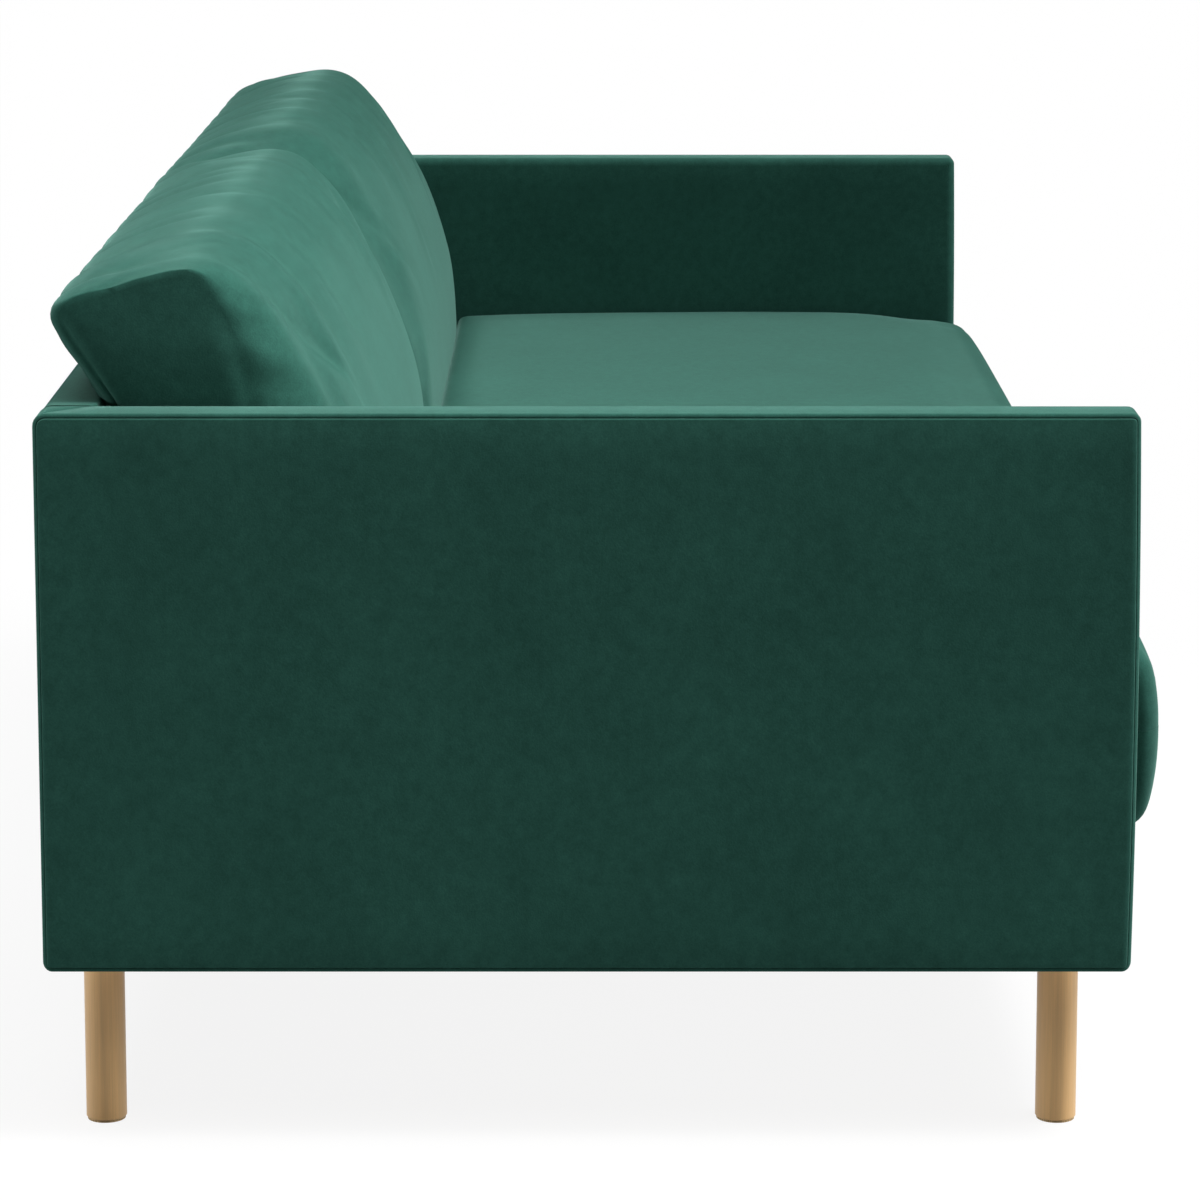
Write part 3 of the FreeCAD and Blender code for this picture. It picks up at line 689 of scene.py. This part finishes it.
class SOFA_OT_arms(bpy.types.Operator):
    """Makes the two boxed arms"""
    bl_idname = "sofa.arms"
    bl_label = "Arms"
    bow_reach = 0.25
    mitre_reach = 0.09
    mitre_half_width = 0.0016
    mitre_depth = 0.0012

    def execute(self, context):
        for hand, side in (("left", -1), ("right", 1)):
            node = f"{hand}_arm_cover"
            low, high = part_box(node)
            arm = boxed_panel(f"{hand}_arm_upholstery", low, high, 0, ARM_CORNERS, wrapped_side=-side)
            self.bow_front(arm, low, high)
            self.sew_mitre(arm, low, high, side)
            finish_panel(arm, "sofa_frame", node)
        return {"FINISHED"}

    def bow_front(self, arm, low, high):
        """The front edge stands out a little at mid height, where the padding pushes it."""
        points = points_of(arm)
        forward = ease((low.y + self.bow_reach - points[:, 1]) / self.bow_reach)
        height = np.clip((points[:, 2] - low.z) / (high.z - low.z), 0, 1) * 2 - 1
        points[:, 1] -= bpy.context.scene.sofa_upholstery.front_bow * forward * (1 - height ** 2)
        set_points(arm, points)

    def sew_mitre(self, arm, low, high, side):
        """A seam across the strip on top, where the arm's strip turns into the back's."""
        with editing(arm):
            outer = Vector((high.x if side > 0 else low.x, high.y, high.z))
            across = Vector((side, -1, 0)).normalized()
            for offset in (-self.mitre_half_width, self.mitre_half_width, 0.0):
                pick("FACE", lambda face: face.normal.z > 0.7
                     and face.calc_center_median().y > high.y - self.mitre_reach)
                bpy.ops.mesh.bisect(plane_co=outer + across * offset, plane_no=across)
            bpy.ops.transform.translate(value=(0, 0, -self.mitre_depth))


class SOFA_OT_back(bpy.types.Operator):
    """Makes the boxed back"""
    bl_idname = "sofa.back"
    bl_label = "Back"
    # How far the ends are tucked under the arms' rounded inner edges
    tuck = 0.007

    def execute(self, context):
        low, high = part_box("back_cover")
        low.x -= self.tuck
        high.x += self.tuck
        back = boxed_panel("back_upholstery", low, high, 1, {}, wrapped_side=1)
        finish_panel(back, "sofa_frame", "back_cover")
        return {"FINISHED"}


class SOFA_OT_apron(bpy.types.Operator):
    """Makes the padded apron under the seat and the tab that the bed is pulled out by"""
    bl_idname = "sofa.apron"
    bl_label = "Apron"
    tab_corner = 0.010
    tab_hem = 0.0035
    tab_stitch = 0.0007
    tab_edge = 0.0009

    def execute(self, context):
        low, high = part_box("apron_cover")
        apron = boxed_panel("apron_upholstery", low, high, 1, {})
        finish_panel(apron, "pullout_base", "apron_cover")
        self.make_tab(*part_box("pull_tab"))
        return {"FINISHED"}

    def make_tab(self, low, high):
        """A doubled strip with a folded edge, stitched on the underside of the apron."""
        tab = add_block("pull_tab_loop", low, high)
        with editing(tab):
            pick("EDGE", lambda edge: runs_along(edge, 1) and middle(edge).z < low.z + SAME_PLACE)
            round_edges(self.tab_corner, 6)
            for side in (-1, 1):
                outward = AXES[1] * side
                pick("FACE", lambda face: face.normal.dot(outward) > SAME_WAY)
                bpy.ops.mesh.inset(thickness=self.tab_hem)
                for depth in (-self.tab_stitch, self.tab_stitch):
                    bpy.ops.mesh.inset(thickness=self.tab_stitch, depth=depth)
            pick("EDGE", lambda edge: edge.is_manifold and edge.calc_face_angle() > 1.2)
            round_edges(self.tab_edge, 2)
        shade(tab, angle=40)
        dress(tab, velvet(), "velvet", "pullout_base", "pull_tab")


# Seat: two mattress layers that fold at the nose

# The nose's outline, as distances behind the fold line and heights
UPPER_NOSE = ((-0.0026, 0.3546), (-0.0026, 0.3650), (-0.0022, 0.3780), (-0.0013, 0.3925), (0.0003, 0.4050),
              (0.0022, 0.4137), (0.0050, 0.4210), (0.0100, 0.4297), (0.0162, 0.4360), (0.0300, 0.4428))
LOWER_NOSE = ((0.0230, 0.2622), (0.0185, 0.2640), (0.0115, 0.2680), (0.0070, 0.2740), (0.0036, 0.2830),
              (0.0004, 0.2990), (-0.0018, 0.3180), (-0.0026, 0.3380), (-0.0026, 0.3544))
SEAT_HALF = 0.9690
# The height of the nose above and below the fold
NOSE_HEIGHT = 0.09
NOSE_CORNER = 0.026
NOSE_CORNER_BACK = 0.027
END_BULGE = 0.008
# The thickness of the cloth of the nose band and of the lining
CLOTH_THICKNESS = 0.0006
# The band's distance from the seat's ends, and how it rises from just under the cover at its edges
BAND_INSET = 0.020
BAND_SUNK = 0.0009
BAND_RISE = 0.0014
BAND_SLOPE = 0.014


def nose_recede(u, z):
    """How far the nose turns back at the seat's ends, where it is slacker above and below the fold."""
    above = ease((z - HINGE.z) / NOSE_HEIGHT)
    below = ease((HINGE.z - z) / NOSE_HEIGHT)
    slack = 0.004 * above * np.abs(u) ** 6 + 0.002 * below * np.abs(u) ** 8
    return NOSE_CORNER_BACK * corner_round(u, SEAT_HALF, NOSE_CORNER) + slack


def end_bulge(u, y):
    """How far the seat's ends stand out in front of the arms, where nothing holds them."""
    clear = ease((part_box("left_arm_cover")[0].y - 0.002 - y) / 0.018)
    return END_BULGE * np.sign(u) * np.abs(u) ** 30 * clear


def nose_side(points):
    return line_through([(HINGE.y + back, z) for back, z in points])


class SOFA_OT_seat(bpy.types.Operator):
    """Makes the two mattress layers of the seat and the band that joins them over the nose"""
    bl_idname = "sofa.seat"
    bl_label = "Seat"

    def execute(self, context):
        self.make_upper()
        self.make_lower()
        self.make_band()
        return {"FINISHED"}

    def make_upper(self):
        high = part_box("upper_mattress")[1]
        foot_z = UPPER_NOSE[0][1]
        crown_z = high.z
        rear_y = high.y + 0.001
        rear = line_through([(rear_y - 0.003, foot_z), (rear_y, 0.375), (rear_y, 0.430),
                             (rear_y - 0.002, 0.438), (rear_y - 0.006, 0.4415)])
        bottom = line_through([(rear_y - 0.003, foot_z), (HINGE.y + UPPER_NOSE[0][0], foot_z)], curved=False)
        top = line_through([(rear_y - 0.006, 0.4415), (rear_y - 0.10, 0.4445), (rear_y - 0.30, crown_z),
                            (rear_y - 0.45, crown_z), (HINGE.y + 0.10, 0.4448), (HINGE.y + 0.030, 0.4428)])
        sides = (rear, nose_side(UPPER_NOSE), bottom, top)
        seat, u, s, t = self.wrap_layer("upper_mattress_cover", 120, sides, slump=1.0)
        rim = (s == 0) | (s == 1) | (np.abs(u) > AT_END)
        crease(seat, (t == 0) & rim, 1.0)
        held = (t == 0) | ((s == 1) & (t < 0.6)) | ((t == 1) & ((s == 0) | (np.abs(u) > AT_END)))
        self.fill_layer(seat, held)
        points = points_of(seat)
        uneven = np.array([noise.noise(Vector((p[0] * 3.0, p[1] * 4.0, 7.0))) for p in points])
        points[:, 2] += 0.0014 * (uneven - 0.4) * t * ease((1 - s) / 0.1)
        points[:, 2] = np.minimum(points[:, 2], crown_z)
        set_points(seat, points)
        self.finish_layer(seat, "upper_mattress", "upper_mattress", rear_y)

    def make_lower(self):
        rear_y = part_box("lower_mattress")[1].y - 0.002
        foot_z = LOWER_NOSE[0][1]
        top_z = LOWER_NOSE[-1][1]
        rear = line_through([(rear_y - 0.006, foot_z), (rear_y, 0.285), (rear_y, 0.330),
                             (rear_y - 0.006, top_z)])
        bottom = line_through([(rear_y - 0.006, foot_z), (HINGE.y + LOWER_NOSE[0][0], foot_z)], curved=False)
        top = line_through([(rear_y - 0.006, top_z), (HINGE.y + LOWER_NOSE[-1][0], top_z)], curved=False)
        sides = (rear, nose_side(LOWER_NOSE), bottom, top)
        base, u, s, t = self.wrap_layer("lower_mattress_cover", 90, sides, slump=0.0)
        rim = (s == 0) | (s == 1) | (np.abs(u) > AT_END)
        crease(base, (t == 1) & rim, 1.0)
        self.fill_layer(base, (t == 0) | (t == 1) | ((s == 1) & (t > 0.4)))
        self.finish_layer(base, "sofa_frame", "lower_mattress", rear_y)

    def wrap_layer(self, name, cells_along, sides, slump):
        """A block wrapped on a section, with its nose turned back at the ends and its top edges slumped."""
        layer, u, s, t = grid_block(name, (cells_along, 46, 10), SEAT_HALF, NOSE_CORNER)
        place = section_points(*sides, s, t)
        end = np.abs(u)
        forward = ease((s - 0.70) / 0.30)
        place[:, 0] += nose_recede(u, place[:, 1]) * ease((s - 0.9) / 0.1)
        place[:, 1] -= slump * t ** 2 * (0.002 * end ** 8 + 0.011 * end ** 20 * forward ** 2)
        relax_ends(place, u, s, t)
        set_points(layer, np.column_stack([u * SEAT_HALF + end_bulge(u, place[:, 0]), place]))
        return layer, u, s, t

    def fill_layer(self, layer, held):
        swell = bpy.context.scene.sofa_upholstery.seat_swell
        fill_with_air(layer, held, pressure=2.0, spare_cloth=0.0, cap=swell)

    def finish_layer(self, layer, body, node, rear_y):
        """Smooths, shades and dresses a layer, and gives it a mesh of its own."""
        subdivide_smooth(layer)
        shade(layer, angle=60)
        dress(layer, velvet(), "velvet", body, node)
        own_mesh(layer)

    def make_band(self):
        """A strip of the cover that runs on over the fold, so that the nose shows no gap there."""
        rows = LOWER_NOSE[5:-1] + ((LOWER_NOSE[-1][0], HINGE.z),) + UPPER_NOSE[1:5]
        outline = line_through(rows)
        half = SEAT_HALF - BAND_INSET
        band = add_piece("nose_band", bpy.ops.mesh.primitive_grid_add,
                         x_subdivisions=140, y_subdivisions=22, size=2)
        points = points_of(band)
        u = points[:, 0]
        # More of the points lie towards the ends, where the nose turns back
        u = u * (1.35 - 0.35 * u ** 2)
        share = (points[:, 1] + 1) / 2
        place = outline(share)
        inside = np.minimum(np.minimum(share, 1 - share) * 0.10, (1 - np.abs(u)) * half)
        proud = BAND_RISE * ease(inside / BAND_SLOPE) - BAND_SUNK
        y = HINGE.y + place[:, 0] + nose_recede(u * half / SEAT_HALF, place[:, 1]) - proud
        set_points(band, np.column_stack([u * half, y, place[:, 1]]))
        thicken(band, CLOTH_THICKNESS, offset=-1)
        shade(band, angle=60)
        band.data.materials.append(velvet())
        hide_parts("mattress_hinge_cord")
        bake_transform(band)


# Back cushions

# The section through the middle of a cushion, as distances in front of the sofa's rear face and heights
CUSHION_REAR = ((0.0620, 0.3570), (0.0600, 0.500), (0.0585, 0.640), (0.0170, 0.7010), (0.0085, 0.7165))
CUSHION_TOP = ((0.0085, 0.7165), (0.0110, 0.7290), (0.0250, 0.7415), (0.0600, 0.759), (0.100, 0.772),
               (0.135, 0.777), (0.166, 0.769), (0.192, 0.747), (0.206, 0.730))
CUSHION_FRONT = ((0.2860, 0.3570), (0.2930, 0.400), (0.2940, 0.460), (0.2850, 0.545), (0.2530, 0.640),
                 (0.2260, 0.695), (0.206, 0.730))
# The ways over the section's top and down its front and rear, which the gathers are measured along
TOP_WAY = 0.215
FRONT_WAY = 0.395
REAR_WAY = 0.376
CUSHION_CORNER = 0.055
# Room inside a cushion's CAD box, beside the arm and beside the other cushion
ARM_CLEARANCE = 0.004
CUSHION_CLEARANCE = 0.002
# How far the upper corner of the right cushion droops beside the left one, and how far along it
CORNER_DROOP = 0.020
DROOP_REACH = 0.19
# The rear panel turns round the ends to a seam: how long and deep the turn is, and how far the seam lies in
END_TURN = 0.016
END_TURN_DEPTH = 0.010
END_SEAM_INSET = 0.006
END_SEAM_DEPTH = 0.0016
# The dents across the ends of a cushion, as heights and as distances in front of the sofa's rear face
END_DENTS = ((0.7176, 0.14), (0.668, 0.17))
DENT_LENGTH = 0.10
DENT_FALL = 0.02
DENT_WIDTH = 0.012
DENT_REACH = 0.05


def cushion_side(points, curved=True):
    return line_through([(REAR_Y - ahead, z) for ahead, z in points], curved)


class SOFA_OT_back_cushions(bpy.types.Operator):
    """Makes the two loose back cushions, gathered along their rear seam"""
    bl_idname = "sofa.back_cushions"
    bl_label = "Back cushions"

    def execute(self, context):
        for hand, seed in (("left", 3), ("right", 11)):
            self.make_cushion(hand, seed)
        return {"FINISHED"}

    def make_cushion(self, hand, seed):
        node = f"{hand}_back_cushion"
        low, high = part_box(node)
        inner = 1 if hand == "left" else -1
        half = (high.x - low.x - ARM_CLEARANCE - CUSHION_CLEARANCE) / 2
        centre_x = (low.x + high.x + inner * (ARM_CLEARANCE - CUSHION_CLEARANCE)) / 2
        rear = cushion_side(CUSHION_REAR, curved=False)
        front = cushion_side(CUSHION_FRONT)
        top = cushion_side(CUSHION_TOP)
        bottom = cushion_side((CUSHION_REAR[0], CUSHION_FRONT[0]), curved=False)
        cushion, u, s, t = grid_block(f"{hand}_back_cushion_cover", (100, 24, 40), half, CUSHION_CORNER)
        place = section_points(rear, front, bottom, top, s, t)
        end = np.abs(u)
        slack = end ** 4
        dip = 0.006 * np.exp(-((s - 0.3) / 0.15) ** 2) * end ** 12
        place[:, 1] -= (0.014 * slack * ease(s / 0.6) + dip) * t
        corner_back = 0.034 + 0.022 * ease((0.70 - place[:, 1]) / 0.06)
        turned = corner_back * corner_round(u, half, CUSHION_CORNER)
        place[:, 0] += (0.006 * slack + turned) * ease((s - 0.5) / 0.5)
        if hand == "right":
            near_corner = ease(1 - (1 + u) * half / DROOP_REACH)
            droop = CORNER_DROOP * near_corner * ease(s / 0.5) * ease((t - 0.4) / 0.6)
            place += droop[:, None] * (0.7, -1.0)
        place[:, 0] -= END_TURN_DEPTH * corner_round(u, half, END_TURN) * ease((0.3 - s) / 0.3)
        relax_ends(place, u, s, t)
        bulge = 0.003 * np.sign(u) * (end > AT_END) * ease(6 * s * (1 - s)) * ease(8 * t * (1 - t))
        reach = half - END_SEAM_INSET * ease((0.06 - s) / 0.06)
        set_points(cushion, np.column_stack([centre_x + u * reach + bulge, place]))
        end_seam = (end > AT_END) & ((s == 0) | ((t == 1) & (s < 0.6)))
        crease(cushion, end_seam, 0.8)
        held = (t == 0) | ((s == 0) & (t < 0.72)) | ((s == 0) & (t == 1)) | end_seam
        firm = 0.94 * ease((end - 0.80) / 0.14) * ease((s - 0.3) / 0.4)
        give = (1 - firm) * np.where(end > AT_END, 0.1, 1.0)
        swell = bpy.context.scene.sofa_upholstery.cushion_swell
        fill_with_air(cushion, held, pressure=4.0, spare_cloth=0.006, cap=swell, give=give)
        self.gather(cushion, u, s, t, seed)
        self.dent_ends(cushion, u, half)
        push_out(cushion, -END_SEAM_DEPTH * (end_seam & (s == 0) & (t < 1)))
        subdivide_smooth(cushion)
        shade(cushion, angle=50)
        dress(cushion, velvet(), "velvet", node, node)

    def gather(self, cushion, u, s, t, seed):
        """Puckers along the rear seam, and soft folds that run over the top and die away down the front."""
        sizes = bpy.context.scene.sofa_upholstery
        x = points_of(cushion)[:, 0]
        below = np.where(s == 1, TOP_WAY + (1 - t) * FRONT_WAY, -(1 - t) * REAR_WAY)
        over = np.where(t == 1, s * TOP_WAY, below)
        stitches = x / sizes.pucker_pitch + 0.35 * rough(x, 6.0, float(seed))
        pucker = np.abs(np.sin(np.pi * stitches)) ** 0.8 - 0.6
        move = sizes.pucker_depth * pucker * np.interp(over, (-0.05, 0.0, 0.03, 0.13), (0.0, 1.0, 0.7, 0.0))
        chance = np.random.default_rng(seed)
        low, high = x.min(), x.max()
        for i in range(sizes.fold_count):
            middle_x = low + (high - low) * (i + chance.uniform(0.2, 0.8)) / sizes.fold_count
            start, end = chance.uniform(-0.02, 0.08), chance.uniform(0.28, 0.42)
            width = chance.uniform(0.020, 0.042)
            height = sizes.fold_depth * chance.uniform(0.35, 1.0)
            lean = chance.uniform(-0.14, 0.14)
            away = x - middle_x - lean * (over - 0.2)
            ridge = np.exp(-(away / width) ** 2) - 0.55 * np.exp(-((away - 1.6 * width) / (1.3 * width)) ** 2)
            share = np.clip((over - start) / (end - start), 0, 1)
            move += height * ridge * np.sin(np.pi * share ** 1.3) ** 1.5
        on_cover = ((t == 1) | (s == 1) | (s == 0)) & (np.abs(u) < AT_END)
        fade = ease((1 - np.abs(u)) / 0.09) * on_cover
        push_out(cushion, move * fade)

    def dent_ends(self, cushion, u, half):
        """Soft dents across the ends, above the arms, where the filling has slumped."""
        points = points_of(cushion)
        ahead = REAR_Y - points[:, 1]
        depth = np.zeros(len(points))
        for height, start in END_DENTS:
            share = np.clip((ahead - start) / DENT_LENGTH, 0, 1)
            line = height - DENT_FALL * share
            depth += np.sin(np.pi * share) * np.exp(-((points[:, 2] - line) / DENT_WIDTH) ** 2)
        near_end = ease((np.abs(u) * half - half + DENT_REACH) / DENT_REACH)
        depth *= bpy.context.scene.sofa_upholstery.dent_depth * near_end
        push_out(cushion, -depth)


# Lining under the base

LINING_PITCH = 0.1
LINING_SAG = 0.0035
# The square cut round the middle leg, half across, and the radius of the hole in it
HOLE_SQUARE = 0.022
HOLE_RADIUS = 0.0192
HOLE_RIM = 0.003


class SOFA_OT_lining(bpy.types.Operator):
    """Makes the dust lining stretched under the base"""
    bl_idname = "sofa.lining"
    bl_label = "Lining"

    def execute(self, context):
        low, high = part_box("dust_cover")
        leg = sum(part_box("center_leg"), Vector()) / 2
        spot = ((low.x + high.x) / 2, (low.y + high.y) / 2, high.z - CLOTH_THICKNESS)
        lining = add_piece("dust_lining", bpy.ops.mesh.primitive_plane_add, size=1, location=spot)
        lining.scale = (high.x - low.x, high.y - low.y, 1)
        bpy.ops.object.transform_apply(location=True, rotation=True, scale=True)
        with editing(lining):
            for axis in (0, 1):
                near, far = leg[axis] - HOLE_SQUARE, leg[axis] + HOLE_SQUARE
                before = spread(low[axis], near, LINING_PITCH)
                after = spread(far, high[axis], LINING_PITCH)
                slice_piece(axis, before + [near, far] + after)
            pick("FACE", lambda face: (face.calc_center_median().xy - leg.xy).length < 0.01)
            bpy.ops.mesh.inset(thickness=HOLE_RIM)
            bpy.ops.mesh.subdivide(number_cuts=4)
            inside = HOLE_SQUARE - HOLE_RIM - SAME_PLACE
            pick("VERT", lambda vert: max(abs(vert.co.x - leg.x), abs(vert.co.y - leg.y)) < inside)
            bpy.ops.mesh.delete(type="VERT")
        self.round_hole(lining, leg)
        self.sag(lining, low, high)
        thicken(lining, CLOTH_THICKNESS, offset=0)
        shade(lining, angle=40)
        cloth = finish("lining", woven_cloth, (0.006, 0.006, 0.007), 0.3, 0.0003, Specular_IOR_Level=0.2)
        dress(lining, cloth, "lining", "sofa_frame", "dust_cover")
        return {"FINISHED"}

    def round_hole(self, lining, leg):
        """Brings the edge of the hole to a circle round the middle leg."""
        points = points_of(lining)
        away = points[:, :2] - np.array(leg.xy)
        distance = np.linalg.norm(away, axis=1)
        edge = np.max(np.abs(away), axis=1) < HOLE_SQUARE - HOLE_RIM + SAME_PLACE
        away[edge] *= (HOLE_RADIUS / distance[edge])[:, None]
        points[edge, :2] = np.array(leg.xy) + away[edge]
        set_points(lining, points)

    def sag(self, lining, low, high):
        points = points_of(lining)
        a = (points[:, 0] - low.x) / (high.x - low.x)
        b = (points[:, 1] - low.y) / (high.y - low.y)
        points[:, 2] -= LINING_SAG * (np.sin(np.pi * a * 2) * np.sin(np.pi * b)) ** 2
        set_points(lining, points)


# Finishes of the parts that keep their CAD shape

FRONT_TO_BACK = ("left_arm_frame", "right_arm_frame", "left_side_rail", "right_side_rail", "center_beam")


def finish_nodes(slot, choose):
    """Gives each CAD piece that the record puts in a slot the material that is chosen for its name."""
    for part in frame["record"]["subparts"]:
        if part["material_slot"] == slot:
            materials = frame["nodes"][part["node"]].data.materials
            materials.clear()
            materials.append(choose(part["node"]))


class SOFA_OT_timber(bpy.types.Operator):
    """Gives the legs, frames, rails and slats their wood"""
    bl_idname = "sofa.timber"
    bl_label = "Timber"

    def execute(self, context):
        finish_nodes("oak", lambda node: timber("oak", "z", coat=0.25))
        finish_nodes("pine", lambda node: timber("pine", "y" if node in FRONT_TO_BACK else "x"))
        finish_nodes("birch", lambda node: timber("birch", "y"))
        return {"FINISHED"}


# The fittings' slots, each with its effect, colour, relief's strength and depth, and specular level
FITTINGS = {
    "black_steel": (worn_surface, (0.012, 0.012, 0.013), 0.25, 0.0002, 0.4),
    "nylon": (worn_surface, (0.62, 0.60, 0.55), 0.1, 0.0002, 0.5),
    "glide": (woven_cloth, (0.78, 0.56, 0.30), 0.3, 0.0003, 0.1),
    "rubber": (worn_surface, (0.018, 0.018, 0.020), 0.15, 0.0003, 0.3),
    "webbing": (woven_cloth, (0.020, 0.020, 0.022), 0.4, 0.0004, 0.2),
}


class SOFA_OT_fittings(bpy.types.Operator):
    """Gives the screws, runners, castors and other fittings their metal, plastic and rubber"""
    bl_idname = "sofa.fittings"
    bl_label = "Fittings"

    def execute(self, context):
        zinc = finish("zinc", worn_surface, context.scene.sofa_colours.zinc, 0.1, 0.0002, Metallic=1.0)
        finish_nodes("zinc", lambda node: zinc)
        for slot, (*look, specular) in FITTINGS.items():
            material = finish(slot, *look, Specular_IOR_Level=specular)
            finish_nodes(slot, lambda node: material)
        return {"FINISHED"}


# Stage

FLOOR_SIZE = 80
# What the floor sends on to the piece, and how pale and bright it looks to the camera
FLOOR_BOUNCE = 0.33
FLOOR_SEEN = 0.95
FLOOR_GLOW = 0.88
LAMP_HEIGHT = 4.0
# Each sun's tilt from straight down, towards the rear or, if negative, the front, its spread and its setting
SUNS = {
    "overhead_light": (10, 70, "lamp_strength"),
    "rear_light": (-86, 14, "rear_strength"),
    "front_light": (82, 20, "front_strength"),
}
NEAR_LAMP_PLACE = Vector((-1.2, -1.8, LAMP_HEIGHT))
NEAR_LAMP_AIM = Vector((-0.75, 0.2, 0.6))
NEAR_LAMP_CONE = 46
NEAR_LAMP_RADIUS = 0.7
CAMERA_SHIFT = (-0.0008, -0.20)
CAMERA_SENSOR = 36
CAMERA_FAR = 200


class SOFA_OT_stage(bpy.types.Operator):
    """Sets up the floor, the light and the camera"""
    bl_idname = "sofa.stage"
    bl_label = "Stage"

    def execute(self, context):
        settings = context.scene.sofa_stage
        context.scene.view_settings.view_transform = "Standard"
        self.make_floor()
        self.make_light(settings)
        self.make_camera(settings)
        return {"FINISHED"}

    def seen_directly(self, tree):
        """1 where the camera, a reflection or a clear material sees the surface, and 0 for other light."""
        path = tree.nodes.new("ShaderNodeLightPath")
        rays = [path.outputs[f"Is {kind} Ray"] for kind in ("Camera", "Glossy", "Transmission")]
        return combine(tree, "MAXIMUM", *rays)

    def make_floor(self):
        floor = add_piece("studio_floor", bpy.ops.mesh.primitive_plane_add, size=FLOOR_SIZE)
        material = bpy.data.materials.new("studio_floor")
        material.use_nodes = True
        tree = material.node_tree
        tree.nodes.remove(tree.nodes["Principled BSDF"])
        seen = self.seen_directly(tree)
        matt = place_node(tree, "ShaderNodeBsdfDiffuse", Color=ramp(tree, seen, FLOOR_BOUNCE, FLOOR_SEEN))
        bright = place_node(tree, "ShaderNodeEmission", Strength=1.0)
        mixed = place_node(tree, "ShaderNodeMixShader", Fac=ramp(tree, seen, 0.0, FLOOR_GLOW))
        tree.links.new(matt.outputs["BSDF"], mixed.inputs[1])
        tree.links.new(bright.outputs["Emission"], mixed.inputs[2])
        tree.links.new(mixed.outputs["Shader"], tree.nodes["Material Output"].inputs["Surface"])
        floor.data.materials.append(material)

    def make_light(self, settings):
        for name, (tilt, width, setting) in SUNS.items():
            self.add_sun(name, math.radians(tilt), math.radians(width), getattr(settings, setting))
        self.add_near_lamp(settings.near_power)
        world = bpy.data.worlds.new("studio")
        world.use_nodes = True
        bpy.context.scene.world = world
        tree = world.node_tree
        strength = ramp(tree, self.seen_directly(tree), settings.fill_strength, 1.0)
        tree.nodes["Background"].inputs["Color"].default_value = (1, 1, 1, 1)
        tree.links.new(strength, tree.nodes["Background"].inputs["Strength"])

    def add_sun(self, name, tilt, width, strength):
        sun = add_piece(name, bpy.ops.object.light_add, type="SUN", location=(0, 0, LAMP_HEIGHT),
                        rotation=(tilt, 0, 0))
        sun.data.energy = strength
        sun.data.angle = width

    def add_near_lamp(self, power):
        """A wide soft lamp that fades out towards the right end."""
        turn = (NEAR_LAMP_AIM - NEAR_LAMP_PLACE).to_track_quat("-Z", "Y").to_euler()
        lamp = add_piece("near_light", bpy.ops.object.light_add, type="SPOT", location=NEAR_LAMP_PLACE,
                         rotation=turn)
        lamp.data.energy = power
        lamp.data.spot_size = math.radians(NEAR_LAMP_CONE)
        lamp.data.spot_blend = 1.0
        lamp.data.shadow_soft_size = NEAR_LAMP_RADIUS

    def make_camera(self, settings):
        turn = (math.radians(90) - settings.camera_tilt, 0, math.radians(-90))
        camera = add_piece("photo_camera", bpy.ops.object.camera_add, location=settings.camera_place,
                           rotation=turn)
        camera.data.sensor_width = CAMERA_SENSOR
        camera.data.lens = settings.camera_lens
        camera.data.shift_x, camera.data.shift_y = CAMERA_SHIFT
        camera.data.clip_end = CAMERA_FAR
        bpy.context.scene.camera = camera


OPERATORS = (SOFA_OT_stage, SOFA_OT_arms, SOFA_OT_back, SOFA_OT_apron, SOFA_OT_seat, SOFA_OT_back_cushions,
             SOFA_OT_lining, SOFA_OT_timber, SOFA_OT_fittings)


class SOFA_PT_build(bpy.types.Panel):
    """Lists the steps that dress the sofa bed"""
    bl_idname = "SOFA_PT_build"
    bl_label = "Sofa Bed"
    bl_space_type = "VIEW_3D"
    bl_region_type = "UI"
    bl_category = "Sofa Bed"

    def draw(self, context):
        for operator in OPERATORS:
            self.layout.operator(operator.bl_idname)
        for settings in (context.scene.sofa_colours, context.scene.sofa_upholstery, context.scene.sofa_stage):
            box = self.layout.box()
            for name in settings.__annotations__:
                box.prop(settings, name)


SETTINGS = {"sofa_colours": SofaColours, "sofa_upholstery": SofaUpholstery, "sofa_stage": SofaStage}
CLASSES = (*SETTINGS.values(), *OPERATORS, SOFA_PT_build)


def register():
    for cls in CLASSES:
        bpy.utils.register_class(cls)
    for name, cls in SETTINGS.items():
        setattr(bpy.types.Scene, name, bpy.props.PointerProperty(type=cls))


def unregister():
    for name in SETTINGS:
        delattr(bpy.types.Scene, name)
    for cls in reversed(CLASSES):
        bpy.utils.unregister_class(cls)


def main():
    register()
    for operator in OPERATORS:
        family, name = operator.bl_idname.split(".")
        getattr(getattr(bpy.ops, family), name)()


if __name__ == "__main__":
    main()
